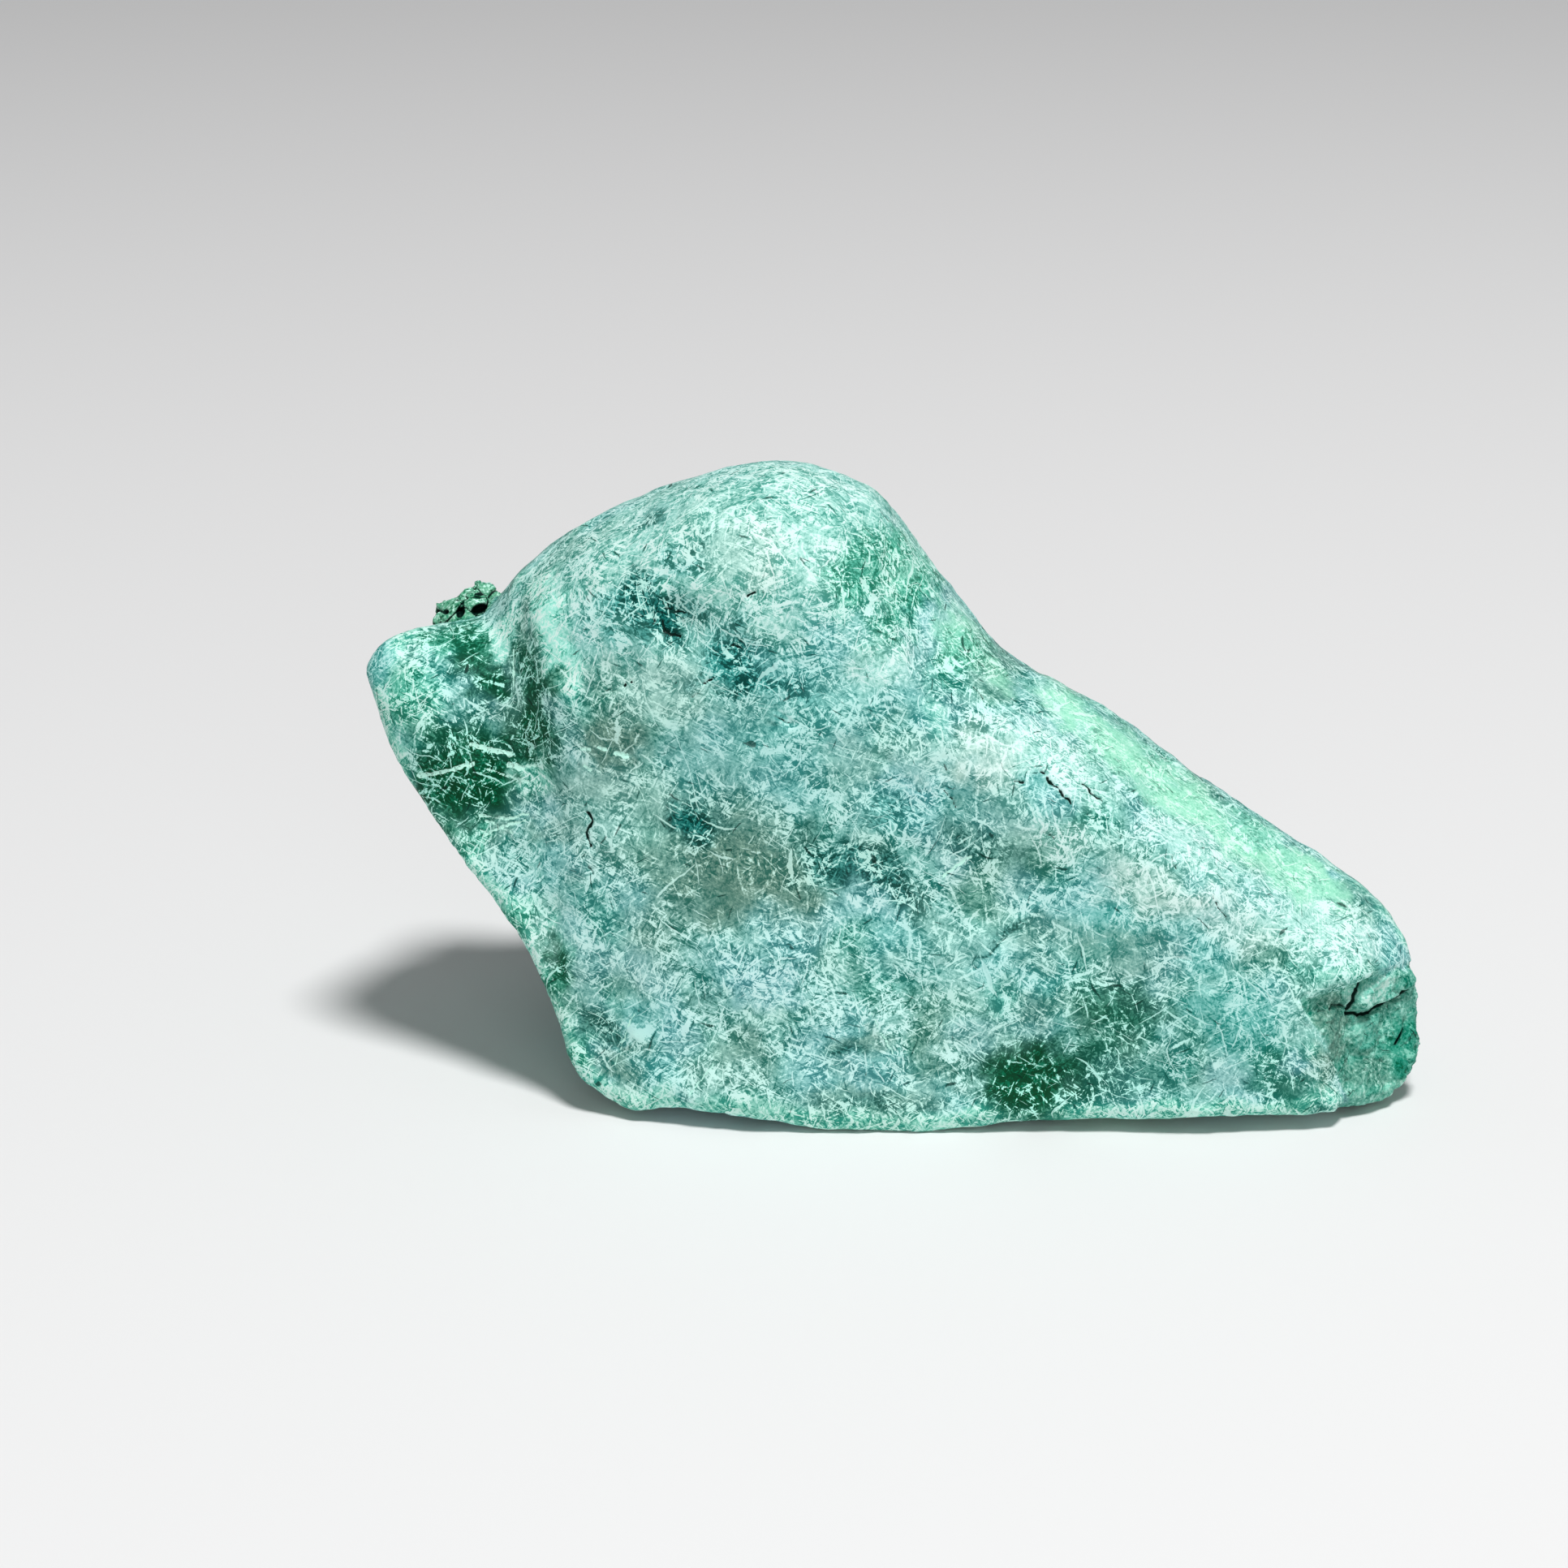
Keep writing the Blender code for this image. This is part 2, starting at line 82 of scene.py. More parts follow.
stone = {
    "skin": {
        "voxel": 0.36,              # mm between the points of the skin
        "smoothRounds": 16,
        "keepSharp": (0.5, 0.9),    # how far the chip and the crust escape the smoothing
        "lastRounds": 3,
        # mm across, mm high
        "dents": [(7.0, 0.16), (3.0, 0.1), (1.4, 0.08), (0.75, 0.05)],
        "pores": (0.6, 0.08),       # small pits that tumbling left open
        "poreShare": (0.25, 0.6),
        "lineReach": (0.45, 0.22),  # mm each side of a crack where the skin is finer
        "knobReach": 3.2,           # mm round the knob where it is finest
        "chipMargin": 0.4,          # mm round the chip
        "brokenFrom": 0.02,         # least share of chip or crust that is made finer
        "carvedFrom": 0.005,        # and that is carved
        "crackDepth": 0.16,
        "crackWander": (0.33, 0.14),        # mm across, mm aside
        "scratchDepth": 0.03,
        "scratchWander": (0.3, 0.1),
        "scratchEdge": (0.6, 1.4),  # in shares of its half width
    },
    # The chip at the lower right: a fresh break. Its marks are placed in its own
    # flat frame, in mm to the right (u) and up (v) from its middle.
    "chip": {
        "middle": Vector((25.5, -10.1, 5.0)),
        "out": Vector((0.6, -0.8, 0.35)).normalized(),
        "top": 2.6,
        "corner": -3.2,
        "lean": 0.38,               # the left edge leans as it goes down
        "right": 6.6,
        "bottom": -4.8,
        "ragged": 0.35,             # mm that its edge wanders
        "wander": 0.9,              # mm between the wanderings
        "edge": 0.09,               # mm of softness
        "fadeRight": 0.8,
        "fadeBottom": 0.4,
        "back": (-2.2, -1.7),       # mm behind the middle where it ends
        "within": (-5.0, -7.0, 4.5, -3.0),      # left, bottom, top and back of its noise
        "sunk": 0.06,
        "facets": [(1.5, 0.24), (0.6, 0.15), (0.25, 0.07)],      # (mm across, tilt)
        # u, v, half width, half height, lift
        "swells": [(1.3, -0.6, 1.2, 1.0, 0.26), (3.0, 1.8, 2.6, 0.9, 0.34),
                   (1.0, 1.7, 0.9, 0.9, 0.3), (4.5, -2.0, 0.9, 1.1, 0.18),
                   (-1.4, 0.6, 0.9, 1.3, 0.12)],
        "fills": [(0.4, -4.6, 3.4, 3.4, 0.55), (4.4, -3.4, 2.6, 2.4, 0.3),
                  (-1.6, -0.8, 2.0, 3.2, 0.3), (0.7, 1.1, 1.5, 1.0, 0.3)],
        "swellEdge": (0.7, 1.1),    # where a swell fades, in shares of its reach
        "fillEdge": (0.2, 1.0),
        "fillDepth": (-3.0, -1.5),
        "fillShare": (0.3, 0.7),    # outside the chip, and how much more inside
        "cleftWander": (0.5, 0.12),         # mm across, mm aside
        # how dark the clefts are painted for their depth: painted shade
        "cleftPaintedShade": 2.2,
        "clefts": [                 # depth, half width, points
            (0.4, 0.15, [(0.9, 2.6), (0.5, 1.8), (0.15, 1.0)]),
            (0.45, 0.15, [(0.15, 1.0), (1.2, 0.65), (2.2, 0.6), (3.2, 0.85), (4.5, 1.25)]),
            (0.6, 0.15, [(4.2, -0.5), (3.9, -1.1), (3.5, -1.6)]),
            (0.28, 0.11, [(-1.2, 1.45), (-0.6, 1.7), (0.1, 1.4)]),
            (0.22, 0.1, [(0.15, 0.7), (-0.1, -0.4), (0.1, -1.5)]),
            (0.18, 0.08, [(2.7, -0.2), (2.5, -1.2)]),
        ],
        "tones": [("taupe", -1.4, 0.4, 1.5, 2.4, 0.75), ("smooth", 1.3, -0.6, 1.2, 1.1, 0.9),
                  ("taupe", 1.0, -2.6, 1.6, 1.0, 0.5), ("raw", 3.6, -2.2, 1.8, 2.2, 0.9),
                  # the rim tone at the chip's foot is partly a painted highlight
                  ("mintsoft", 1.8, 1.9, 1.8, 0.8, 0.45), ("wornRimAndHighlight", 2.6, -4.0, 3.0, 0.6, 0.6)],
        "toneEdge": (0.5, 1.3),
    },
    # The crust of small crystals behind the nose.
    "crust": {
        "heaps": [((-24.5, 5.4, 24.5), 2.6), ((-21.5, 8.0, 21.5), 3.6),
                  ((-17.5, 10.0, 19.5), 3.6)],
        "facets": [(1.5, 0.42), (0.7, 0.26), (0.3, 0.09)],
        "fringe": (0.8, 1.15),      # where a heap fades, in shares of its reach
        "crease": (1.3, 0.14),      # mm between the creases, mm deep
        "creaseWidth": 0.16,
        # how dark the seams are painted: painted shade in the creases
        "creasePaintedShade": 0.75,
        "droop": 0.45,              # mm, at the knob's left end
        "droopFrom": (24.4, 25.8),  # mm to the left
        # right, up, half width, half height, turn, depth of the knob's holes, each painted
        # with a shadow
        "holes": [(-23.75, 25.15, 0.5, 0.3, 25, 0.9), (-24.8, 24.95, 0.26, 0.36, -20, 0.7),
                  (-25.7, 25.0, 0.22, 0.16, 0, 0.35)],
        "holeEdge": (0.45, 1.15),   # in shares of its reach
        "holeWall": (0.7, 1.1),     # mm before or behind where it is laid
        "holePaintedShadow": (0.6, 1.25),
    },
    # Ragged cracks with painted shade, darker where deeper: depth factor, half width in mm,
    # points
    "cracks": [
        (1.2, 0.1, [(-17.1, 13.5), (-16.9, 13.0), (-17.2, 12.4), (-17.0, 11.6)]),
        (0.7, 0.06, [(-17.1, 10.4), (-16.9, 10.1)]),
        (1.2, 0.09, [(8.0, 15.8), (8.3, 15.5), (8.5, 15.1), (8.9, 14.9), (9.1, 14.5),
                      (9.6, 14.0)]),
        (1.2, 0.085, [(10.3, 15.1), (10.6, 14.9), (10.9, 14.5), (11.4, 14.2)]),
        (0.8, 0.07, [(4.3, 20.5), (4.6, 20.2), (4.9, 19.8)]),
        (0.8, 0.065, [(6.5, 15.2), (6.9, 15.2), (7.3, 15.1)]),
        (0.8, 0.055, [(2.6, 14.8), (3.0, 14.2), (3.4, 13.6)]),
        (0.6, 0.06, [(1.0, 14.9), (1.3, 14.5)]),
        (0.7, 0.06, [(10.5, 13.4), (10.8, 13.2)]),
        (0.7, 0.06, [(13.3, 12.9), (13.7, 12.6)]),
        (0.7, 0.06, [(12.1, 12.3), (12.5, 12.1)]),
        (0.7, 0.06, [(8.3, 12.3), (8.7, 12.1)]),
        (0.8, 0.06, [(15.2, 11.1), (15.5, 10.3)]),
        (0.8, 0.06, [(17.5, 8.9), (17.9, 8.2), (18.5, 7.5)]),
        (0.6, 0.06, [(15.8, 5.4), (16.2, 5.3)]),
        (0.6, 0.05, [(4.3, 4.8), (5.3, 5.8), (6.0, 6.5), (6.5, 7.0)]),
        (0.4, 0.045, [(-0.2, 3.5), (-1.1, 2.3), (-2.2, 1.1)]),
        (1.0, 0.065, [(-10.65, 20.6), (-10.35, 20.7), (-10.0, 20.95)]),
        (0.7, 0.05, [(-11.2, 19.75), (-11.0, 20.1)]),
        (1.0, 0.08, [(-15.0, 20.5), (-14.95, 20.5)]),
        (1.0, 0.08, [(-14.6, 20.65), (-14.55, 20.65)]),
        (0.8, 0.085, [(-12.7, 24.7), (-12.2, 24.55), (-11.6, 24.4)]),
        (1.0, 0.095, [(-12.9, 24.0), (-12.7, 23.45), (-11.9, 23.2)]),
        (0.7, 0.075, [(-13.4, 24.4), (-13.2, 23.9)]),
        (0.9, 0.085, [(-9.1, 22.6), (-8.55, 22.55)]),
        (1.0, 0.08, [(-8.2, 25.3), (-7.8, 25.5)]),
        (0.8, 0.06, [(-6.7, 18.7), (-5.9, 18.4)]),
        (0.6, 0.055, [(-1.5, 19.0), (-1.2, 18.7)]),
        (0.6, 0.055, [(-4.6, 26.7), (-4.3, 26.4)]),
    ],
    # Pale bruised scratches: strength, half width in mm, points
    "scratches": [
        (1.0, 0.13, [(-23.8, 17.3), (-22.7, 17.0), (-21.6, 16.7)]),
        (0.95, 0.12, [(-26.9, 15.5), (-25.3, 15.8), (-23.7, 16.2)]),
        (1.0, 0.16, [(-21.7, 16.15), (-20.9, 15.95)]),
        (0.9, 0.08, [(-20.9, 16.0), (-20.1, 16.1)]),
        (0.8, 0.07, [(-22.9, 15.9), (-21.8, 15.5), (-20.6, 15.2)]),
        (0.9, 0.08, [(4.1, 11.1), (3.3, 10.5), (2.6, 10.0)]),
        (0.7, 0.06, [(-1.3, 2.3), (-0.7, 1.1), (-0.1, 0.0)]),
        (0.7, 0.06, [(-14.6, 2.2), (-15.2, 0.8), (-15.7, -0.6)]),
        (0.7, 0.06, [(-10.1, -0.5), (-10.8, -1.4), (-11.5, -2.3)]),
        (1.0, 0.11, [(-17.4, 17.1), (-16.9, 17.0)]),
        (1.0, 0.11, [(-16.4, 17.1), (-16.0, 17.0)]),
        (1.0, 0.12, [(-15.5, 16.8), (-14.9, 16.6)]),
        (1.0, 0.1, [(-17.2, 16.1), (-16.9, 15.9)]),
        (0.8, 0.045, [(-16.8, 19.4), (-15.6, 20.1), (-14.5, 20.8)]),
        (0.9, 0.08, [(-21.3, 22.6), (-21.3, 21.5), (-21.3, 20.4)]),
        (0.8, 0.09, [(-23.4, 13.3), (-21.9, 13.1), (-20.6, 13.4)]),
        (0.8, 0.09, [(-23.2, 12.1), (-22.1, 12.7), (-20.8, 13.0)]),
        (0.8, 0.08, [(-23.0, 13.0), (-21.5, 12.3)]),
        (0.7, 0.07, [(-23.7, 12.6), (-22.7, 12.2)]),
    ],
    # Each tone, from its darkest specks to its palest bruises, how much more of it
    # is bruised than of the body, and how lively its flecks are.
    "tones": {
        "body": ("1b6f65", "59a096", "8dc9c0", "c0ece5", 0.0, 1.0),
        "green": ("0c6b4f", "299d81", "75ceb4", "c6f4e8", -0.16, 1.0),
        "window": ("023f24", "025a3a", "0c7c5c", "b0f2e2", -0.42, 0.95),
        "dome": ("469889", "7dbeb1", "a9dcd1", "cfeae4", 0.02, 0.85),
        "moss": ("72ae98", "8cd8b8", "a6e8cc", "d0f2e4", 0.06, 0.45),
        "bright": ("70afa2", "9fd6ca", "c0ece3", "daf0ec", 0.06, 1.0),
        "mintsoft": ("359f89", "88e3cd", "b8faea", "e6fbf4", 0.22, 0.7),
        "blush": ("6c9f92", "a0c6bb", "cae6dc", "e2f4ee", 0.08, 0.7),
        "taupe": ("2a6456", "547f72", "7da492", "bce4d8", -0.18, 0.5),
        "olive": ("34685a", "5a8474", "82a696", "b8dccc", -0.15, 0.45),
        "deep": ("02352e", "06605a", "34948a", "b4e8dc", -0.24, 1.1),
        "pool": ("02443f", "0c7f78", "4cb8b0", "b4ece4", -0.14, 1.1),
        "bluegrey": ("388e8c", "67b3af", "8ed0cc", "b5eae6", -0.08, 0.85),
        "lavender": ("508f97", "7bb6bb", "a3d6da", "caecec", 0.02, 0.75),
        "pale": ("367c6f", "78b7ad", "a8ded6", "d0f9f3", 0.1, 1.1),
        "warm": ("5f9d91", "8cbeb3", "addcd0", "caf5e9", 0.0, 0.75),
        "turquoise":("288f84", "61b2aa", "8bccc5", "acddd7", -0.12, 0.6),
        "teal": ("0c6f60", "2c9182", "67b4a8", "b2e0d9", -0.16, 0.9),
        # worn rims: paler partly from wear, partly a painted highlight
        "wornRimAndHighlight": ("319f89", "73cdb4", "a9ecd6", "d6f8ec", 0.05, 1.0),
        "chip": ("026a54", "40927f", "70b3a1", "a6dccd", 0.04, 1.0),
        "smooth": ("06715c", "52a693", "72b9a6", "96d4c2", 0.0, 0.5),
        "raw": ("025b3e", "047c64", "3a9a83", "76c0ab", -0.02, 1.0),
        "crust": ("04301c", "2f8a66", "7cbc9f", "c4f2e2", 0.0, 1.0),
    },
    # Slow changes over the whole stone: tone, mm across, shift of the noise, strength
    "drifts": [
        ("bluegrey", 5.0, 71.0, 0.6),
        ("green", 5.0, 47.0, 0.35),
        ("taupe", 3.5, 95.0, 0.55),
        ("warm", 2.6, 33.0, 0.5),
        ("lavender", 3.0, 59.0, 0.4),
    ],
    "driftEdge": (0.0, 0.4),
    # tone, mm right, mm up, half width, half height, turn in degrees, strength
    "patches": [
        ("taupe", -11.4, 11.8, 6.3, 4.0, 0, 0.45),
        ("warm", -15.5, 14.2, 3.2, 2.7, 0, 0.5),
        ("taupe", -6.5, 8.6, 2.7, 1.8, 0, 0.5),
        ("bluegrey", -6.9, 17.1, 5.3, 2.9, 0, 0.6),
        ("bluegrey", 1.1, 14.2, 3.6, 1.8, 0, 0.5),
        ("bluegrey", 10.1, 8.6, 3.6, 1.8, 20, 0.4),
        ("turquoise", 18.7, 1.9, 3.1, 2.5, 0, 0.7),
        ("turquoise", 16.4, 4.6, 1.8, 1.8, 0, 0.4),
        ("teal", 21.5, -0.8, 2.4, 1.6, 0, 0.8),
        ("moss", 9.5, 19.5, 1.8, 1.0, -35, 0.9),
        ("moss", 12.7, 16.9, 2.7, 1.4, -38, 0.9),
        ("moss", 16.3, 14.2, 2.7, 1.5, -38, 0.95),
        ("moss", 20.0, 11.5, 2.7, 1.4, -35, 0.95),
        ("moss", 23.7, 9.4, 2.5, 1.3, -35, 0.85),
        ("moss", 0.5, 27.0, 1.5, 2.2, -30, 0.8),
        ("moss", 3.7, 23.3, 1.4, 1.6, -40, 0.75),
        ("moss", 5.5, 21.2, 1.4, 0.9, -40, 0.6),
        ("moss", 22.9, 10.8, 2.8, 0.9, -35, 0.7),
        ("bright", -0.9, 21.6, 2.1, 1.9, 0, 0.8),
        ("dome", -6.0, 29.5, 8.0, 6.0, 0, 0.9),
        ("dome", -14.5, 26.0, 5.0, 5.0, 0, 0.8),
        ("bright", -3.8, 26.9, 1.8, 1.3, 0, 0.7),
        # These six bright patches lie along the ridge and the top edge that face the light:
        # painted highlight.
        ("bright", 8.3, 16.7, 2.8, 1.6, -25, 0.85),
        ("bright", 15.1, 12.2, 2.0, 1.3, -30, 0.7),
        ("bright", 17.4, 10.9, 1.8, 1.2, -30, 0.8),
        ("bright", 24.4, 6.7, 3.2, 1.6, -15, 0.8),
        ("bright", 20.6, 8.1, 2.3, 1.4, -30, 0.6),
        ("bright", -4.2, 31.5, 2.7, 0.9, -5, 0.5),
        ("mintsoft", -19.4, 24.4, 1.2, 2.7, 15, 0.8),
        ("mintsoft", -18.6, 21.2, 1.0, 1.5, 20, 0.9),
        ("mintsoft", -28.5, 22.7, 1.2, 0.6, -20, 0.6),
        ("mintsoft", -26.6, 19.0, 1.6, 1.0, -10, 0.7),
        ("mintsoft", -29.0, 20.4, 0.6, 1.8, 0, 0.5),
        ("blush", -8.0, 27.9, 1.9, 1.6, 0, 0.7),
        ("blush", 4.9, 16.7, 2.2, 1.6, -20, 0.7),
        ("blush", 16.8, 8.6, 1.2, 0.7, 0, 0.5),
        ("taupe", -15.7, 17.4, 2.1, 1.5, 0, 0.9),
        ("warm", -12.7, 20.2, 2.7, 2.0, 0, 0.85),
        ("taupe", -8.4, 10.6, 3.6, 1.9, 0, 1.0),
        ("olive", -5.8, 9.3, 1.5, 1.1, 0, 0.8),
        ("taupe", -11.0, 8.6, 2.2, 1.2, -10, 0.5),
        ("taupe", -1.7, 0.7, 1.7, 0.9, 20, 0.7),
        ("taupe", -15.8, -0.5, 1.7, 0.7, 0, 0.7),
        ("taupe", 2.6, -0.5, 2.0, 1.4, 0, 0.6),
        ("taupe", 13.3, 3.9, 2.7, 1.3, -10, 0.4),
        ("taupe", -18.7, 12.2, 1.8, 0.8, 0, 0.5),
        ("lavender", -6.9, 3.9, 2.7, 1.2, 0, 0.6),
        ("lavender", 13.7, 5.2, 2.5, 1.1, 10, 0.3),
        ("lavender", 22.5, -0.5, 1.2, 0.6, 0, 0.7),
        ("lavender", 1.1, 15.3, 2.2, 1.2, 0, 0.4),
        ("pale", -12.1, 5.9, 1.4, 1.8, 0, 0.6),
        ("pale", -4.0, 3.0, 1.5, 1.5, 0, 0.6),
        ("pale", 3.0, 0.0, 1.5, 0.7, 0, 0.6),
        ("pale", 12.6, 4.6, 1.8, 1.0, 15, 0.6),
        ("pale", -9.2, -1.4, 3.2, 1.2, 0, 0.4),
        ("green", -2.0, 26.9, 1.6, 2.7, -35, 0.8),
        ("green", 1.2, 25.9, 1.0, 4.1, -35, 0.85),
        ("green", 3.7, 22.4, 1.1, 2.7, -45, 0.6),
        ("bluegrey", -29.4, 21.8, 1.6, 1.4, 0, 0.7),
        ("green", -27.3, 20.2, 1.6, 1.6, 0, 0.7),
        ("green", -24.4, 23.4, 2.4, 1.4, 0, 0.9),
        ("taupe", -11.1, 8.3, 2.7, 1.8, 0, 0.7),
        ("warm", -0.2, 16.7, 3.6, 1.3, 0, 0.5),
        ("green", -19.3, 3.7, 0.6, 2.7, -20, 0.8),
        ("mintsoft", -20.0, 6.0, 0.5, 1.8, -20, 0.7),
        ("green", -18.1, -0.2, 1.1, 1.8, -30, 0.7),
        ("olive", -8.9, 9.1, 1.3, 1.1, 0, 0.5),
        ("taupe", -13.7, 6.8, 1.4, 1.4, 0, 0.5),
        # painted highlight on the ridge that faces the light
        ("bright", 10.1, 15.4, 2.2, 1.3, -30, 0.4),
        ("warm", -10.0, 29.6, 2.2, 1.3, 0, 0.4),
        ("pool", -13.8, 24.5, 3.1, 1.6, 0, 0.8),
        ("pool", -8.9, 21.8, 2.2, 2.0, 0, 0.85),
        ("warm", -9.1, 27.7, 1.8, 1.5, 0, 0.7),
        ("turquoise", 11.9, 6.8, 2.7, 1.6, 0, 0.7),
        ("bluegrey", -4.7, 21.1, 2.7, 1.8, 0, 0.6),
        ("bluegrey", -1.1, 19.3, 2.7, 1.3, 0, 0.5),
        ("deep", -11.6, 13.3, 1.5, 1.2, -10, 1.0),
        ("deep", -10.5, 12.4, 1.3, 0.8, 35, 0.85),
        ("deep", -12.6, 23.9, 1.3, 1.2, 0, 1.0),
        ("deep", -14.4, 24.8, 1.2, 0.7, -10, 0.8),
        ("deep", -8.7, 22.6, 0.6, 0.4, 0, 0.95),
        ("deep", -3.9, 10.6, 1.8, 1.3, -20, 0.75),
        ("deep", -1.0, 10.5, 2.4, 1.2, -30, 0.85),
        ("deep", 0.5, 8.7, 1.3, 0.6, -15, 0.8),
        ("deep", -2.9, -0.1, 1.0, 0.5, 0, 0.9),
        ("deep", -13.7, 29.7, 0.8, 0.4, 30, 0.8),
        ("deep", -10.7, 28.4, 0.6, 0.4, 0, 0.7),
        ("deep", -10.3, 3.5, 1.3, 0.5, 0, 0.7),
        ("deep", 6.5, 6.9, 1.0, 0.4, 20, 0.8),
        ("deep", 5.2, 6.1, 0.7, 0.2, 40, 0.8),
        ("deep", 4.3, 11.8, 2.4, 1.0, -15, 0.4),
        ("window", -23.4, 15.4, 3.8, 2.6, 20, 1.0),
        ("window", -24.7, 17.9, 2.5, 1.3, -10, 0.8),
        ("window", -20.2, 18.1, 1.6, 2.2, 0, 0.95),
        ("window", -20.5, 21.9, 0.9, 1.8, 0, 0.85),
        ("window", -23.3, 21.8, 1.7, 1.7, 0, 0.85),
        ("window", -24.9, 23.2, 1.4, 0.6, -15, 0.6),
        ("window", -24.8, 14.7, 1.8, 2.1, -30, 0.9),
        ("window", -19.0, 5.1, 0.7, 1.7, 20, 0.8),
        ("window", 7.3, -1.4, 2.7, 2.1, -10, 1.0),
        ("window", 12.6, 2.5, 2.9, 1.4, -20, 0.7),
        ("window", 10.9, -0.5, 2.9, 1.7, 0, 0.65),
        ("window", 21.1, -1.4, 1.8, 1.3, 0, 0.4),
        ("window", 16.7, 0.5, 0.9, 1.8, 0, 0.4),
        ("window", -16.3, 1.6, 0.8, 1.1, 0, 0.6),
        ("blush", 13.8, 9.4, 2.6, 1.6, -20, 0.65),
        ("blush", 18.0, 7.5, 2.2, 1.2, -25, 0.5),
        ("bright", 9.0, 12.0, 1.9, 1.2, -10, 0.6),
        ("mintsoft", -21.9, 23.4, 0.8, 1.2, -20, 0.8),
        ("mintsoft", -20.2, 15.6, 0.8, 1.4, -15, 0.6),
        ("pale", 0.0, 2.4, 1.4, 1.4, 0, 0.8),
        ("pale", -10.6, 2.4, 1.4, 1.2, 0, 0.6),
        ("taupe", 13.0, 5.6, 2.8, 1.4, 0, 0.55),
        ("taupe", 8.7, 6.6, 2.2, 1.4, 0, 0.5),
        ("taupe", 24.2, 0.0, 0.9, 1.8, 0, 0.9),
        ("taupe", 7.8, 2.4, 1.3, 1.2, 0, 0.6),
        ("pale", 4.0, -1.0, 0.9, 1.0, 0, 0.6),
        ("taupe", -1.4, -2.6, 4.0, 0.8, 0, 0.6),
        ("deep", -1.0, -3.0, 3.4, 0.6, 0, 0.5),
        ("deep", -16.2, 1.4, 1.1, 0.9, 0, 0.7),
        ("deep", 24.0, -3.0, 1.2, 0.5, 0, 0.6),
        ("deep", -14.4, 25.8, 0.7, 0.9, 0, 0.8),
        ("deep", -8.8, 20.4, 0.8, 0.6, 0, 0.7),
        ("pool", -11.8, 27.2, 1.6, 0.8, -20, 0.6),
        ("pool", -6.6, 20.3, 2.4, 0.8, -10, 0.7),
        ("pool", -0.5, 13.7, 1.4, 0.9, 0, 0.5),
        ("mintsoft", -12.5, 25.4, 0.6, 0.4, 0, 0.7),
        ("green", 0.2, 28.0, 0.8, 1.5, -30, 0.8),
        ("green", 20.5, 12.2, 2.4, 0.8, -35, 0.35),
        ("green", -23.8, 11.5, 0.8, 1.5, -30, 0.7),
        ("green", -21.2, 7.6, 0.8, 1.6, -25, 0.6),
        ("teal", -29.4, 21.8, 0.9, 1.4, 0, 0.65),
        ("teal", 15.2, -0.9, 1.6, 1.0, 0, 0.7),
        ("window", 13.3, -1.4, 1.8, 1.0, 0, 0.6),
        ("window", -23.2, 20.8, 1.1, 1.0, 0, 0.9),
        ("window", -19.6, 20.6, 1.1, 1.0, 0, 0.9),
        ("window", -26.2, 15.0, 0.9, 1.5, -25, 0.9),
        ("bluegrey", -29.4, 22.2, 1.4, 1.4, 0, 0.5),
        ("mintsoft", -19.4, 24.5, 1.0, 2.2, 0, 0.45),
        ("taupe", -15.9, 17.7, 1.5, 1.3, 0, 0.55),
        ("pale", -16.4, 11.8, 2.0, 2.4, 0, 0.3),
        ("pale", -12.5, 7.8, 1.8, 1.3, 0, 0.3),
        ("bluegrey", 13.3, -1.4, 2.0, 1.2, 0, 0.3),
        ("bright", -19.9, 6.1, 0.8, 1.2, 0, 0.4),
        ("taupe", -17.5, 2.4, 2.0, 2.0, 0, 0.25),
        ("taupe", -6.9, -0.5, 3.2, 1.8, 0, 0.2),
        ("bluegrey", 20.7, 12.3, 2.3, 1.0, -30, 0.2),
        ("window", -20.3, 18.6, 0.8, 1.0, 0, 0.5),
        ("window", -24.7, 23.8, 1.4, 0.7, 0, 0.25),
        ("deep", -8.9, 21.7, 1.3, 1.5, 0, 0.25),
        # painted highlight on the ridge that faces the light
        ("bright", 17.5, 10.9, 1.8, 0.9, -30, 0.3),
    ],
    # Bulges, in mm above a smoothed stone, are painted paler: partly rubbed wear, partly a
    # painted rim highlight.
    "wearAndHighlight": {"rounds": 14, "step": 0.9, "evening": 3, "bulge": (0.06, 0.14),
               "strength": 0.7},
    "wander": [(1.9, 0.9, 83.0), (0.8, 0.8, 91.0)],     # mm across, mm aside, shift
    "patchEdge": (0.45, 1.5),       # where a patch fades, in shares of its reach
    "patchDepth": (1.5, 1.2),       # mm inwards, and how much more for each mm of its reach
    "patchFacing": (-0.1, 0.15),    # it fades where the surface turns away
    # The sides that no marking above reaches take the same tones at random.
    "farSides": {
        "seed": 23,
        "count": 120,
        "reach": (1.6, 4.2),        # mm
        "strength": (0.6, 1.0),
        "edge": (0.3, 1.5),
        "behind": 0.15,             # what faces forward less than this takes the middles
        "facing": (0.0, 0.3),
        "tones": ["window", "deep", "bluegrey", "taupe", "bright", "moss", "pale",
                  "turquoise", "mintsoft", "lavender", "olive", "blush"],
        "odds": [0.17, 0.13, 0.12, 0.12, 0.11, 0.08, 0.07, 0.06, 0.05, 0.04, 0.03, 0.02],
    },
    "finish": {
        # directions, mm long, mm wide, from, to, weight of the pale and of the dark
        "strokes": {
            "fine": (8, 0.75, 0.1, 0.68, 0.78, 0.64, 0.58),
            "middle": (8, 1.5, 0.14, 0.755, 0.78, 0.82, 0.5),
        },
        "long": (8, 3.2, 0.13, 0.81, 0.825, 0.8),
        "lean": 0.06,                       # how much a place favours some directions
        "freshStrokes": 0.3,                # how much of the strokes fresh stone has
        "flakes": [                         # direction, mm long, mm wide, weight
            ((0.8, 0.2, 0.55), 0.65, 0.22, 0.25),
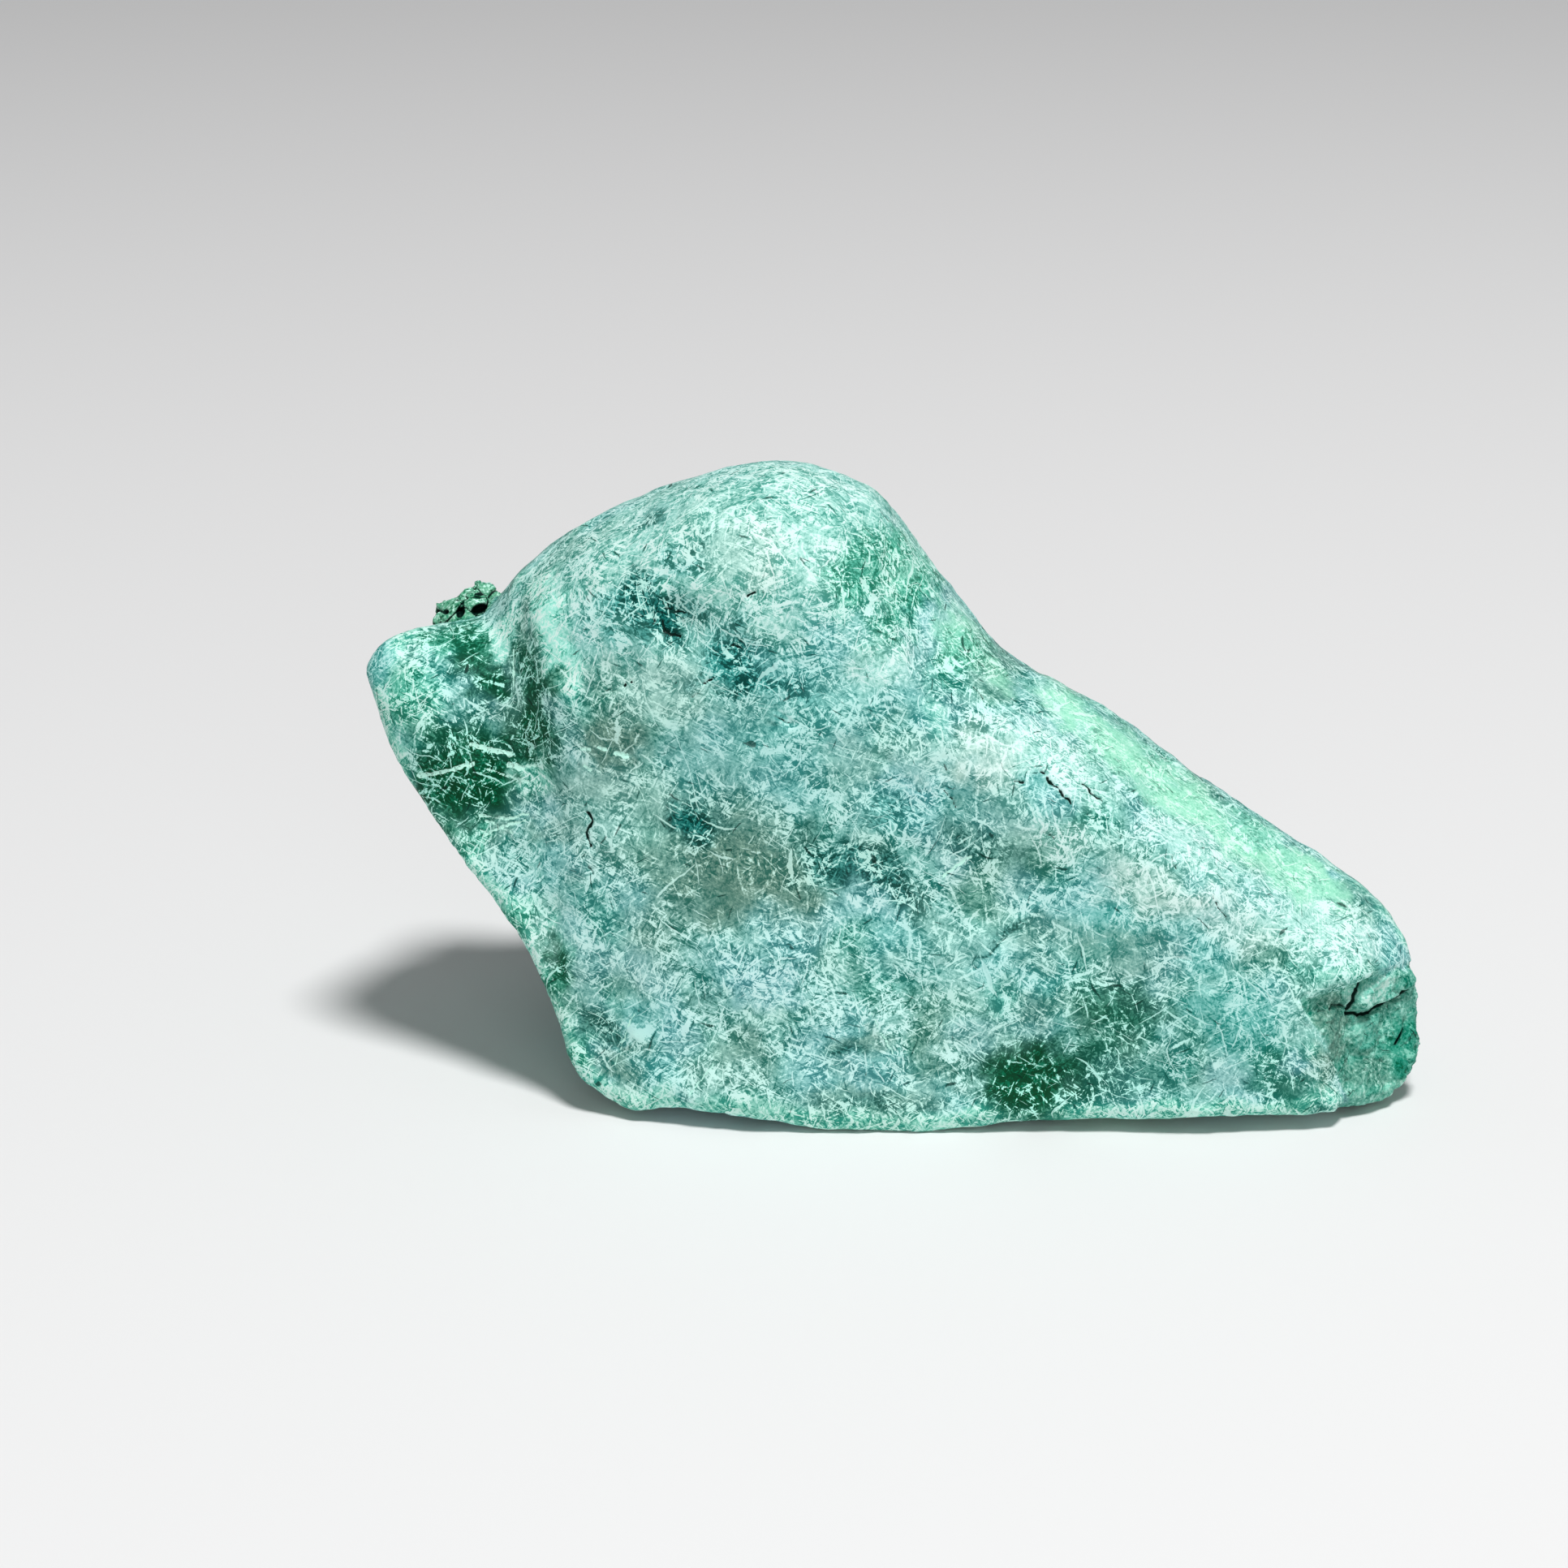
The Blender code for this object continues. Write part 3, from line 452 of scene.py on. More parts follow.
            ((-0.5, 0.3, 0.8), 1.1, 0.32, 0.3),
            ((0.9, 0.2, -0.2), 1.8, 0.6, 0.3),
        ],
        "blotches": (0.9, 0.54, 0.66, 0.35),        # per mm, from, to, weight
        "bustle": (0.5, 0.4, 0.62, 0.5, 1.7),      # per mm, from, to, calmest, busiest
        "clumps": (0.72, 1.05),             # per mm, weight
        "grain": (6.0, 0.95, 1.6),          # per mm, weight, weight on fresh stone
        "nicks": (0.85, 0.87),              # dark dashes, from, to
        "nickShade": 0.7,
        "scratch": "bff5e4",
        "scratchEdge": (0.3, 0.6),
        "scratchGrain": (0.3, 0.5, 0.45, 1.0),      # grain from, to, cover from, to
        # the colour of the painted shade in cracks, clefts, creases and holes
        "crack": "03201a",
        "paintedShadeEdge": (0.3, 0.65),
        "bend": (0.35, 1.0),                # per mm, mm that the strokes bend aside
        "rag": (4.5, 0.09),                 # per mm, mm that their edges wander
        "spread": (-0.81, 0.82),            # the bruising from its lowest to its highest
        "steps": ((0.05, 0.3), (0.3, 0.7), (0.7, 0.95)),
        "roughness": (0.3, 0.7, 0.36, 0.58),        # level from, to, bare, bruised
        "refraction": 1.6,
        "gloss": 0.05,
        "relief": 0.25,
        "reliefDepth": 0.03,                # mm
    },
}
skin, chip, crust = stone["skin"], stone["chip"], stone["crust"]


def remeshedNode(nodeName, voxel):
    welded = bmesh.new()
    welded.from_mesh(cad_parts[nodeName].data)
    bmesh.ops.remove_doubles(welded, verts=welded.verts, dist=0.001 * mm)
    mesh = bpy.data.meshes.new("stoneBlank")
    welded.to_mesh(mesh)
    welded.free()
    blank = bpy.data.objects.new("stoneBlank", mesh)
    bpy.context.scene.collection.objects.link(blank)
    remesh = blank.modifiers.new("voxels", "REMESH")
    remesh.mode = "VOXEL"
    remesh.voxel_size = voxel * mm
    seen = bpy.context.evaluated_depsgraph_get()
    made = bpy.data.meshes.new_from_object(blank.evaluated_get(seen))
    bpy.data.objects.remove(blank)
    return made


def pointsOf(mesh):
    flat = np.empty(len(mesh.vertices) * 3)
    mesh.vertices.foreach_get("co", flat)
    return flat.reshape(-1, 3) / mm


def setPoints(mesh, points):
    mesh.vertices.foreach_set("co", (points * mm).ravel())
    mesh.update()


def normalsOf(mesh):
    flat = np.empty(len(mesh.vertices) * 3)
    mesh.vertex_normals.foreach_get("vector", flat)
    return flat.reshape(-1, 3)


def edgesOf(mesh):
    flat = np.empty(len(mesh.edges) * 2, int)
    mesh.edges.foreach_get("vertices", flat)
    return flat.reshape(-1, 2)


def neighbourMean(values, edges):
    count = len(values)
    degree = np.bincount(edges.ravel(), minlength=count).astype(float)
    columns = []
    for column in values.reshape(count, -1).T:
        total = np.bincount(edges[:, 0], weights=column[edges[:, 1]], minlength=count)
        total += np.bincount(edges[:, 1], weights=column[edges[:, 0]], minlength=count)
        columns.append(total / degree)
    return np.array(columns).T.reshape(values.shape)


def relax(points, edges, rounds, amount=1.0):
    # a shrinking step, then a slightly larger growing one, so the size is kept
    shrink, grow = 0.5, 0.52
    share = np.broadcast_to(amount, len(points))[:, None]
    for _ in range(rounds):
        points = points + shrink * share * (neighbourMean(points, edges) - points)
        points = points - grow * share * (neighbourMean(points, edges) - points)
    return points


def distanceToLine(points, line):
    best = np.full(len(points), np.inf)
    for start, end in zip(line, line[1:]):
        run = end - start
        along = np.clip((points - start) @ run / (run @ run), 0, 1)
        gap = points - (start + along[:, None] * run)
        best = np.minimum(best, np.sqrt((gap * gap).sum(1)))
    return best


def dropOnto(tree, across, up):
    start = faceRight * across + faceUp * up + faceOut * farAway
    return np.array(tree.ray_cast(start, -faceOut)[0])


def laidLines(tree, lines):
    return [(strength, width, [dropOnto(tree, *spot) for spot in spots])
            for strength, width, spots in lines]


def chipPlace(points):
    turn = chip["out"].to_track_quat("Z", "Y")
    gap = points - np.array(chip["middle"])
    return (gap @ np.array(turn @ Vector((1, 0, 0))),
            gap @ np.array(turn @ Vector((0, 1, 0))),
            gap @ np.array(chip["out"]))


def chipShare(points, soft=chip["edge"]):
    u, v, w = chipPlace(points)
    farLeft, farBottom, farTop, farBack = chip["within"]
    near = (u > farLeft) & (w > farBack) & (v < farTop) & (v > farBottom)
    wobble = np.zeros(len(points))
    wobble[near] = chip["ragged"] * noiseOver(points[near], chip["wander"], 13.0)
    left = chip["corner"] + chip["lean"] * (chip["top"] - v) + wobble
    share = ease(u - left, -soft, soft)
    share *= 1 - ease(v - wobble, chip["top"] - soft, chip["top"] + soft)
    share *= 1 - ease(u, chip["right"], chip["right"] + chip["fadeRight"])
    share *= ease(v, chip["bottom"], chip["bottom"] + chip["fadeBottom"])
    return share * ease(w, *chip["back"])


def crustShare(points):
    share = np.zeros(len(points))
    for middle, reach in crust["heaps"]:
        gap = np.sqrt(((points - np.array(middle)) ** 2).sum(1))
        share = np.maximum(share, 1 - ease(gap / reach, *crust["fringe"]))
    return share


crystalStep = 0.35          # how far whole crystals stand above or below their neighbours
cellStride = 7.3            # parts the random lean of one cell from that of the next


def facetsOver(points, size, tilt, seed):
    # each cell of broken crystal leans its own way
    heights = np.empty(len(points))
    move = Vector((seed, 0, 0))
    for i, p in enumerate((points / size).tolist()):
        here = Vector(p) + move
        cell = noise.voronoi(here)[1][0]
        lean = noise.cell_vector(cell * cellStride) - Vector((0.5, 0.5, 0.5))
        heights[i] = (here - cell).dot(lean) + crystalStep * (lean.x + lean.y)
    return heights * tilt


def creasesOver(points, size, seed):
    # 1 in the seams where two crystals meet
    seams = np.empty(len(points))
    move = Vector((seed, 0, 0))
    for i, p in enumerate((points / size).tolist()):
        gaps = noise.voronoi(Vector(p) + move)[0]
        seams[i] = gaps[1] - gaps[0]
    return 1 - ease(seams, 0.0, crust["creaseWidth"])


def refineWhere(mesh, wanted):
    fine = bmesh.new()
    fine.from_mesh(mesh)
    fine.verts.ensure_lookup_table()
    picked = [f for f in fine.faces if sum(wanted[v.index] for v in f.verts) >= 2]
    edges = list(dict.fromkeys(e for f in picked for e in f.edges))
    bmesh.ops.subdivide_edges(fine, edges=edges, cuts=1, use_grid_fill=True)
    fine.to_mesh(mesh)
    fine.free()


def swollen(u, v, swells, near, far):
    height = np.zeros(len(u))
    for middleU, middleV, halfU, halfV, lift in swells:
        reach = np.hypot((u - middleU) / halfU, (v - middleV) / halfV)
        height += lift * (1 - ease(reach, near, far))
    return height


def carveChip(points, share):
    u, v, _ = chipPlace(points)
    height = share * (swollen(u, v, chip["swells"], *chip["swellEdge"]) - chip["sunk"])
    for i, (size, tilt) in enumerate(chip["facets"]):
        height += share * facetsOver(points, size, tilt, 5.0 + 9 * i)
    size, amount = chip["cleftWander"]
    wobble = amount * swirlOver(points, size, 29.0)
    flat = np.stack([u + wobble[:, 0], v + wobble[:, 1]], 1)
    paintedShade = np.zeros(len(points))
    for depth, width, spots in chip["clefts"]:
        cut = np.exp(-(distanceToLine(flat, [np.array(s) for s in spots]) / width) ** 2)
        height -= share * depth * cut
        # painted shade in the clefts, darker the deeper they are cut
        paintedShade = np.maximum(paintedShade, share * cut ** 2 * min(1, depth * chip["cleftPaintedShade"]))
    return height, paintedShade


def carveCrust(points, share):
    height = np.zeros(len(points))
    for i, (size, tilt) in enumerate(crust["facets"]):
        height += share * facetsOver(points, size, tilt, 50.0 + 9 * i)
    size, depth = crust["crease"]
    seams = creasesOver(points, size, 77.0)
    # the seams between crystals are painted darker: painted shade in the creases
    return height - share * depth * seams, crust["creasePaintedShade"] * share * seams


def facePlace(points):
    return [points @ np.array(axis) for axis in (faceRight, faceUp, faceOut)]


def turnedReach(across, up, halfWide, halfHigh, turn):
    # 1 on the rim of a turned ellipse, 0 in its middle
    c, s = math.cos(math.radians(turn)), math.sin(math.radians(turn))
    return np.hypot((across * c + up * s) / halfWide, (up * c - across * s) / halfHigh)


def openHoles(points, tree, share, paintedShade):
    across, up, out = facePlace(points)
    for right, high, halfWide, halfHigh, turn, depth in crust["holes"]:
        spot = dropOnto(tree, right, high) @ np.array(faceOut)
        reach = turnedReach(across - right, up - high, halfWide, halfHigh, turn)
        inside = (1 - ease(reach, *crust["holeEdge"])) * share
        inside = inside * (1 - ease(abs(out - spot), *crust["holeWall"]))
        points = points - inside[:, None] * depth * np.array(faceOut)
        # painted shadow inside each hole
        shadow = 1 - ease(reach, *crust["holePaintedShadow"])
        paintedShade = np.maximum(paintedShade, shadow) * (inside > 0) + paintedShade * (inside <= 0)
    return points, paintedShade


def shapeStone():
    mesh = remeshedNode("malachite", skin["voxel"])
    points = pointsOf(mesh)
    edges = edgesOf(mesh)
    keepChip, keepCrust = skin["keepSharp"]
    broken = keepChip * chipShare(points) + keepCrust * crustShare(points)
    points = relax(points, edges, skin["smoothRounds"], 1 - np.minimum(broken, keepCrust))
    setPoints(mesh, points)
    say(f"skin of {len(points)} points")

    tree = BVHTree.FromPolygons([Vector(p) for p in points.tolist()],
                                [tuple(f.vertices) for f in mesh.polygons])
    crackLines = laidLines(tree, stone["cracks"])
    scratchLines = laidLines(tree, stone["scratches"])
    knob = np.array(crust["heaps"][0][0])
    for step, reach in enumerate(skin["lineReach"]):
        points = pointsOf(mesh)
        near = np.full(len(points), np.inf)
        for _, width, line in crackLines + scratchLines:
            near = np.minimum(near, distanceToLine(points, line) - width)
        broken = crustShare(points)
        if step:
            broken *= np.sqrt(((points - knob) ** 2).sum(1)) < skin["knobReach"]
        broken = np.maximum(broken, chipShare(points, skin["chipMargin"]))
        refineWhere(mesh, (near < reach) | (broken > skin["brokenFrom"]))
        say(f"finer skin, {len(mesh.vertices)} points")
    points = relax(pointsOf(mesh), edgesOf(mesh), skin["lastRounds"])
    setPoints(mesh, points)
    normals = normalsOf(mesh)
    inChip = chipShare(points)
    inCrust = crustShare(points) * (1 - inChip)

    worn = 1 - np.maximum(inChip, inCrust)
    height = np.zeros(len(points))
    for i, (size, amount) in enumerate(skin["dents"]):
        height += worn * amount * noiseOver(points, size, 3.0 + 11 * i)
    size, amount = skin["pores"]
    height -= worn * amount * ease(noiseOver(points, size, 41.0), *skin["poreShare"])

    # the break runs out flush with the worn skin at its foot
    u, v, w = chipPlace(points)
    foot = swollen(u, v, chip["fills"], *chip["fillEdge"]) * ease(w, *chip["fillDepth"])
    outside, inside = chip["fillShare"]
    height += foot * (outside + inside * inChip)

    # painted shade gathered from the clefts, creases, cracks and holes
    paintedShade = np.zeros(len(points))
    for share, carve in ((inChip, carveChip), (inCrust, carveCrust)):
        spots = np.nonzero(share > skin["carvedFrom"])[0]
        lift, shadow = carve(points[spots], share[spots])
        height[spots] += lift
        paintedShade[spots] = np.maximum(paintedShade[spots], shadow)

    size, amount = skin["crackWander"]
    jitter = points + amount * swirlOver(points, size, 17.0)
    # painted shade along each crack, darker with its depth factor
    for strength, width, line in crackLines:
        cut = np.exp(-(distanceToLine(jitter, line) / width) ** 2)
        paintedShade = np.maximum(paintedShade, cut * min(strength, 1))
        height -= skin["crackDepth"] * strength * cut
    size, amount = skin["scratchWander"]
    ragged = points + amount * swirlOver(points, size, 27.0)
    inner, outer = skin["scratchEdge"]
    pale = np.zeros(len(points))
    for strength, width, line in scratchLines:
        cut = 1 - ease(distanceToLine(ragged, line), width * inner, width * outer)
        pale = np.maximum(pale, cut * strength)
        height -= skin["scratchDepth"] * cut

    points = points + normals * height[:, None]
    points[:, 2] -= inCrust * crust["droop"] * ease(-points[:, 0], *crust["droopFrom"])
    points, paintedShade = openHoles(points, tree, inCrust, paintedShade)
    points[:, 2] = np.maximum(points[:, 2], 0)
    setPoints(mesh, points)
    return mesh, tree, {"paintedShade": paintedShade, "pale": pale, "chip": inChip, "crust": inCrust}


class Paint:
    # the four colours of every point, how bruised it is and how lively its flecks are
    def __init__(self, count):
        *colours, bruised, lively = stone["tones"]["body"]
        self.colours = [np.tile(shade(colour), (count, 1)) for colour in colours]
        self.bruised = np.full(count, bruised)
        self.lively = np.full(count, lively)

    def lay(self, tone, share):
        *colours, bruised, lively = stone["tones"][tone]
        for mine, colour in zip(self.colours, colours):
            mine += share[:, None] * (shade(colour) - mine)
        self.bruised += share * (bruised - self.bruised)
        self.lively += share * (lively - self.lively)


def storeColour(mesh, name, values):
    layer = mesh.attributes.new(name, "FLOAT_COLOR", "POINT")
    flat = np.ones((len(values), 4), np.float32)
    flat[:, :3] = values
    layer.data.foreach_set("color", flat.ravel())


def storeValue(mesh, name, values):
    layer = mesh.attributes.new(name, "FLOAT", "POINT")
    layer.data.foreach_set("value", values.astype(np.float32))


def colourStone(mesh, tree, marks):
    points = pointsOf(mesh)
    normals = normalsOf(mesh)
    edges = edgesOf(mesh)
    paint = Paint(len(points))

    for tone, size, shift, strength in stone["drifts"]:
        paint.lay(tone, strength * ease(noiseOver(points, size, shift), *stone["driftEdge"]))

    # bulges are painted paler: partly rubbed wear, partly a painted rim highlight
    wearAndHighlight = stone["wearAndHighlight"]
    smooth = points
    for _ in range(wearAndHighlight["rounds"]):
        smooth = smooth + wearAndHighlight["step"] * (neighbourMean(smooth, edges) - smooth)
    bulge = ((points - smooth) * normals).sum(1)
    for _ in range(wearAndHighlight["evening"]):
        bulge = neighbourMean(bulge, edges)
    broken = np.maximum(marks["chip"], marks["crust"])
    paint.lay("wornRimAndHighlight", wearAndHighlight["strength"] * ease(bulge, *wearAndHighlight["bulge"]) * (1 - broken))

    facing = normals @ np.array(faceOut)
    loose = points
    for size, amount, shift in stone["wander"]:
        loose = loose + amount * swirlOver(points, size, shift)
    farSides = stone["farSides"]
    rng = np.random.default_rng(farSides["seed"])
    behind = np.nonzero(facing < farSides["behind"])[0]
    for _ in range(farSides["count"]):
        middle = points[rng.choice(behind)]
        reach = rng.uniform(*farSides["reach"])
        tone = rng.choice(farSides["tones"], p=farSides["odds"])
        gap = np.sqrt(((loose - middle) ** 2).sum(1)) / reach
        share = (1 - ease(gap, *farSides["edge"])) * (1 - ease(facing, *farSides["facing"]))
        paint.lay(tone, rng.uniform(*farSides["strength"]) * share)

    across, up, out = facePlace(loose)
    least, more = stone["patchDepth"]
    for tone, right, high, halfWide, halfHigh, turn, strength in stone["patches"]:
        spot = dropOnto(tree, right, high) @ np.array(faceOut)
        reach = turnedReach(across - right, up - high, halfWide, halfHigh, turn)
        inwards = (out - spot) / (least + more * max(halfWide, halfHigh))
        share = (1 - ease(reach, *stone["patchEdge"])) * np.exp(-inwards ** 2)
        paint.lay(tone, strength * share * ease(facing, *stone["patchFacing"]))

    paint.lay("crust", marks["crust"])
    paint.lay("chip", marks["chip"])
    u, v, _ = chipPlace(loose)
    for tone, middleU, middleV, halfU, halfV, strength in chip["tones"]:
        reach = np.hypot((u - middleU) / halfU, (v - middleV) / halfV)
        paint.lay(tone, strength * marks["chip"] * (1 - ease(reach, *chip["toneEdge"])))

    for name, colours in zip(("speck", "ground", "bruise", "palest"), paint.colours):
        storeColour(mesh, name, colours)
    storeValue(mesh, "bruised", paint.bruised)
    storeValue(mesh, "lively", paint.lively)
    storeValue(mesh, "fresh", broken)
    storeValue(mesh, "paintedShade", marks["paintedShade"])
    storeValue(mesh, "pale", marks["pale"])


def addNode(tree, kind, inputs=None, **settings):
    made = tree.nodes.new(kind)
    for key, value in settings.items():
        setattr(made, key, value)
    for key, value in (inputs or {}).items():
        if isinstance(value, bpy.types.NodeSocket):
            tree.links.new(value, made.inputs[key])
        else:
            made.inputs[key].default_value = value
    return made


def calc(tree, operation, a, b=0.0, c=0.0):
    return addNode(tree, "ShaderNodeMath", {0: a, 1: b, 2: c},
                   operation=operation).outputs[0]


def ramp(tree, value, low, high, toLow=0.0, toHigh=1.0, plain=False):
    return addNode(tree, "ShaderNodeMapRange",
                   {0: value, 1: low, 2: high, 3: toLow, 4: toHigh},
                   interpolation_type="LINEAR" if plain else "SMOOTHSTEP").outputs[0]


def blend(tree, factor, a, b, kind="MIX"):
    made = addNode(tree, "ShaderNodeMix", data_type="RGBA", blend_type=kind)
    for slot, value in ((0, factor), (6, a), (7, b)):
        if isinstance(value, bpy.types.NodeSocket):
            tree.links.new(value, made.inputs[slot])
        else:
            made.inputs[slot].default_value = value
    return made.outputs[2]


def noiseNode(tree, vector, scale, detail=2.0, rough=0.5):
    return addNode(tree, "ShaderNodeTexNoise",
                   {"Vector": vector, "Scale": scale, "Detail": detail, "Roughness": rough})


def directionsRound(count):
    # evenly spread over half a sphere
    golden = math.pi * (3 - math.sqrt(5))
    made = []
    for i in range(count):
        z = 1 - (i + 0.5) / count
        r = math.sqrt(1 - z * z)
        made.append(Vector((r * math.cos(golden * i), r * math.sin(golden * i), z)))
    return made


def drawnOut(tree, place, direction, size, shift):
    return addNode(tree, "ShaderNodeMapping", {
        "Vector": place,
        "Location": (shift, -0.7 * shift, 1.3 * shift),
        "Rotation": direction.to_track_quat("X", "Z").to_euler()[:],
        "Scale": size}, vector_type="TEXTURE").outputs[0]


def strokeGroup(name, count, length, width, shift):
    lean = stone["finish"]["lean"]
    # noise in thin leaves that face many ways: where the surface cuts their
    # crests and troughs lie crossing dashes, pale and dark
    group = bpy.data.node_groups.new(name, "ShaderNodeTree")
    group.interface.new_socket("Place", in_out="INPUT", socket_type="NodeSocketVector")
    group.interface.new_socket("Favour", in_out="INPUT", socket_type="NodeSocketVector")
    group.interface.new_socket("Crest", in_out="OUTPUT", socket_type="NodeSocketFloat")
    group.interface.new_socket("Trough", in_out="OUTPUT", socket_type="NodeSocketFloat")
    start = group.nodes.new("NodeGroupInput")
    end = group.nodes.new("NodeGroupOutput")
    favour = addNode(group, "ShaderNodeSeparateXYZ", {0: start.outputs["Favour"]})
    crest = trough = None
    for i, direction in enumerate(directionsRound(count)):
        turned = drawnOut(group, start.outputs["Place"], direction,
                          (width, length, length), shift + 3.1 * i)
        wave = noiseNode(group, turned, 1.0, 0.0).outputs[0]
        leaned = calc(group, "MULTIPLY_ADD", favour.outputs[i % 3], lean, wave)
        crest = leaned if crest is None else calc(group, "MAXIMUM", crest, leaned)
        trough = wave if trough is None else calc(group, "MINIMUM", trough, wave)
    group.links.new(calc(group, "SUBTRACT", crest, lean / 2), end.inputs["Crest"])
    group.links.new(calc(group, "SUBTRACT", 1.0, trough), end.inputs["Trough"])
    return group


def useGroup(tree, group, place, favour):
    made = tree.nodes.new("ShaderNodeGroup")
    made.node_tree = group
    tree.links.new(place, made.inputs["Place"])
    tree.links.new(favour, made.inputs["Favour"])
    return made.outputs["Crest"], made.outputs["Trough"]


def readAttribute(tree, name, output="Fac"):
    return addNode(tree, "ShaderNodeAttribute", attribute_name=name).outputs[output]


def pushed(tree, place, push, amount):
    return addNode(tree, "ShaderNodeVectorMath", {0: push, 1: (amount,) * 3, 2: place},
                   operation="MULTIPLY_ADD").outputs[0]


def finishStone():
    finish = stone["finish"]
    material = bpy.data.materials.new("malachiteSkin")
    material.use_nodes = True
    tree = material.node_tree
    tree.nodes.clear()

    speck = readAttribute(tree, "speck", "Color")
    ground = readAttribute(tree, "ground", "Color")
    bruise = readAttribute(tree, "bruise", "Color")
    palest = readAttribute(tree, "palest", "Color")
    fresh = readAttribute(tree, "fresh")
    paintedShade = readAttribute(tree, "paintedShade")
    pale = readAttribute(tree, "pale")

    place = addNode(tree, "ShaderNodeTexCoord").outputs["Object"]
    inMm = addNode(tree, "ShaderNodeVectorMath", {0: place, 3: 1 / mm},
                   operation="SCALE").outputs[0]
    scale, aside = finish["bend"]
    favour = noiseNode(tree, inMm, scale, 1.0).outputs["Color"]
    bent = pushed(tree, inMm, favour, aside)
    scale, aside = finish["rag"]
    rag = noiseNode(tree, inMm, scale, 1.0, 0.7)
    bent = pushed(tree, bent, rag.outputs["Color"], aside)

    # the flecks gather: calm spots lie between busy ones
    scale, low, high, calmest, busiest = finish["bustle"]
    bustle = noiseNode(tree, inMm, scale, 3.0, 0.65).outputs[1]
    busy = addNode(tree, "ShaderNodeSeparateColor", {0: bustle}).outputs[0]
    lively = calc(tree, "MULTIPLY", readAttribute(tree, "lively"),
                  ramp(tree, busy, low, high, calmest, busiest, plain=True))
    # fresh stone is grainy and has few strokes
    strokeShare = ramp(tree, fresh, 0.0, 1.0, 1.0, finish["freshStrokes"], plain=True)
    strokes = 0.0
    for i, (name, kind) in enumerate(finish["strokes"].items()):
        count, length, width, low, high, paler, darker = kind
        group = strokeGroup(name + "Strokes", count, length, width, 7.0 * i)
        crest, trough = useGroup(tree, group, bent, favour)
        strokes = calc(tree, "ADD", ramp(tree, crest, low, high, 0.0, paler), strokes)
        strokes = calc(tree, "SUBTRACT", strokes, ramp(tree, trough, low, high, 0.0, darker))
    bruising = calc(tree, "MULTIPLY_ADD", strokes, calc(tree, "MULTIPLY", strokeShare, lively),
                    readAttribute(tree, "bruised"))
    # most flakes hardly show, a few stand out
    for i, (direction, length, width, weight) in enumerate(finish["flakes"]):
        turned = drawnOut(tree, bent, Vector(direction).normalized(), (length, width, width),
                          31.0 + 5 * i)
        cells = addNode(tree, "ShaderNodeTexVoronoi", {"Vector": turned, "Scale": 1.0})
        lone = addNode(tree, "ShaderNodeSeparateColor", {0: cells.outputs["Color"]}).outputs[0]
        lifted = ramp(tree, lone, 0.0, 1.0, -1.0, 1.0, plain=True)
        lifted = calc(tree, "MULTIPLY", calc(tree, "MULTIPLY", lifted, lifted), lifted)
        bruising = calc(tree, "MULTIPLY_ADD", calc(tree, "MULTIPLY", lifted, lively), weight,
                        bruising)
    scale, low, high, weight = finish["blotches"]
    blotch = noiseNode(tree, bent, scale, 4.0, 0.7).outputs[0]
    bruising = calc(tree, "MULTIPLY_ADD", ramp(tree, blotch, low, high, 0.0, weight), lively,
                    bruising)
    scale, weight = finish["clumps"]
    clump = noiseNode(tree, inMm, scale, 4.0, 0.62).outputs[0]
    bruising = calc(tree, "MULTIPLY_ADD", calc(tree, "SUBTRACT", clump, 0.5), weight, bruising)
    scale, weight, freshWeight = finish["grain"]
    grain = noiseNode(tree, inMm, scale, 1.0, 0.6).outputs[0]
    bruising = calc(tree, "MULTIPLY_ADD", calc(tree, "SUBTRACT", grain, 0.5),
                    ramp(tree, fresh, 0.0, 1.0, weight, freshWeight, plain=True), bruising)

    count, length, width, low, high, cover = finish["long"]
    group = strokeGroup("longStrokes", count, length, width, 19.0)
    scored, _ = useGroup(tree, group, bent, favour)
    scored = calc(tree, "MULTIPLY", ramp(tree, scored, low, high, 0.0, cover), strokeShare)

    level = ramp(tree, bruising, *finish["spread"])
    colour = speck
    for step, paler in zip(finish["steps"], (ground, bruise, palest)):
        colour = blend(tree, ramp(tree, level, *step, plain=True), colour, paler)
    colour = blend(tree, scored, colour, palest)
    patchy = ramp(tree, grain, *finish["scratchGrain"])
    scratched = calc(tree, "MULTIPLY", ramp(tree, pale, *finish["scratchEdge"]), patchy)
    colour = blend(tree, scratched, colour, (*shade(finish["scratch"]), 1))
    # dark dashes among the flecks, then the painted shade of cracks, clefts, creases and holes
    nicksAndShade = ramp(tree, trough, *finish["nicks"], 0.0, finish["nickShade"])
    nicksAndShade = calc(tree, "MAXIMUM", nicksAndShade, ramp(tree, paintedShade, *finish["paintedShadeEdge"]))
    colour = blend(tree, nicksAndShade, colour, (*shade(finish["crack"]), 1))

    roughness = ramp(tree, level, *finish["roughness"])
    bump = addNode(tree, "ShaderNodeBump", {
        "Strength": finish["relief"],
        "Distance": finish["reliefDepth"] * mm,
        "Height": rag.outputs[0]})
    shader = addNode(tree, "ShaderNodeBsdfPrincipled", {
        "Base Color": colour,
        "Roughness": roughness,
        "IOR": finish["refraction"],
        "Specular IOR Level": finish["gloss"],
        "Normal": bump.outputs[0]})
    out = tree.nodes.new("ShaderNodeOutputMaterial")
    tree.links.new(shader.outputs[0], out.inputs["Surface"])
    return material


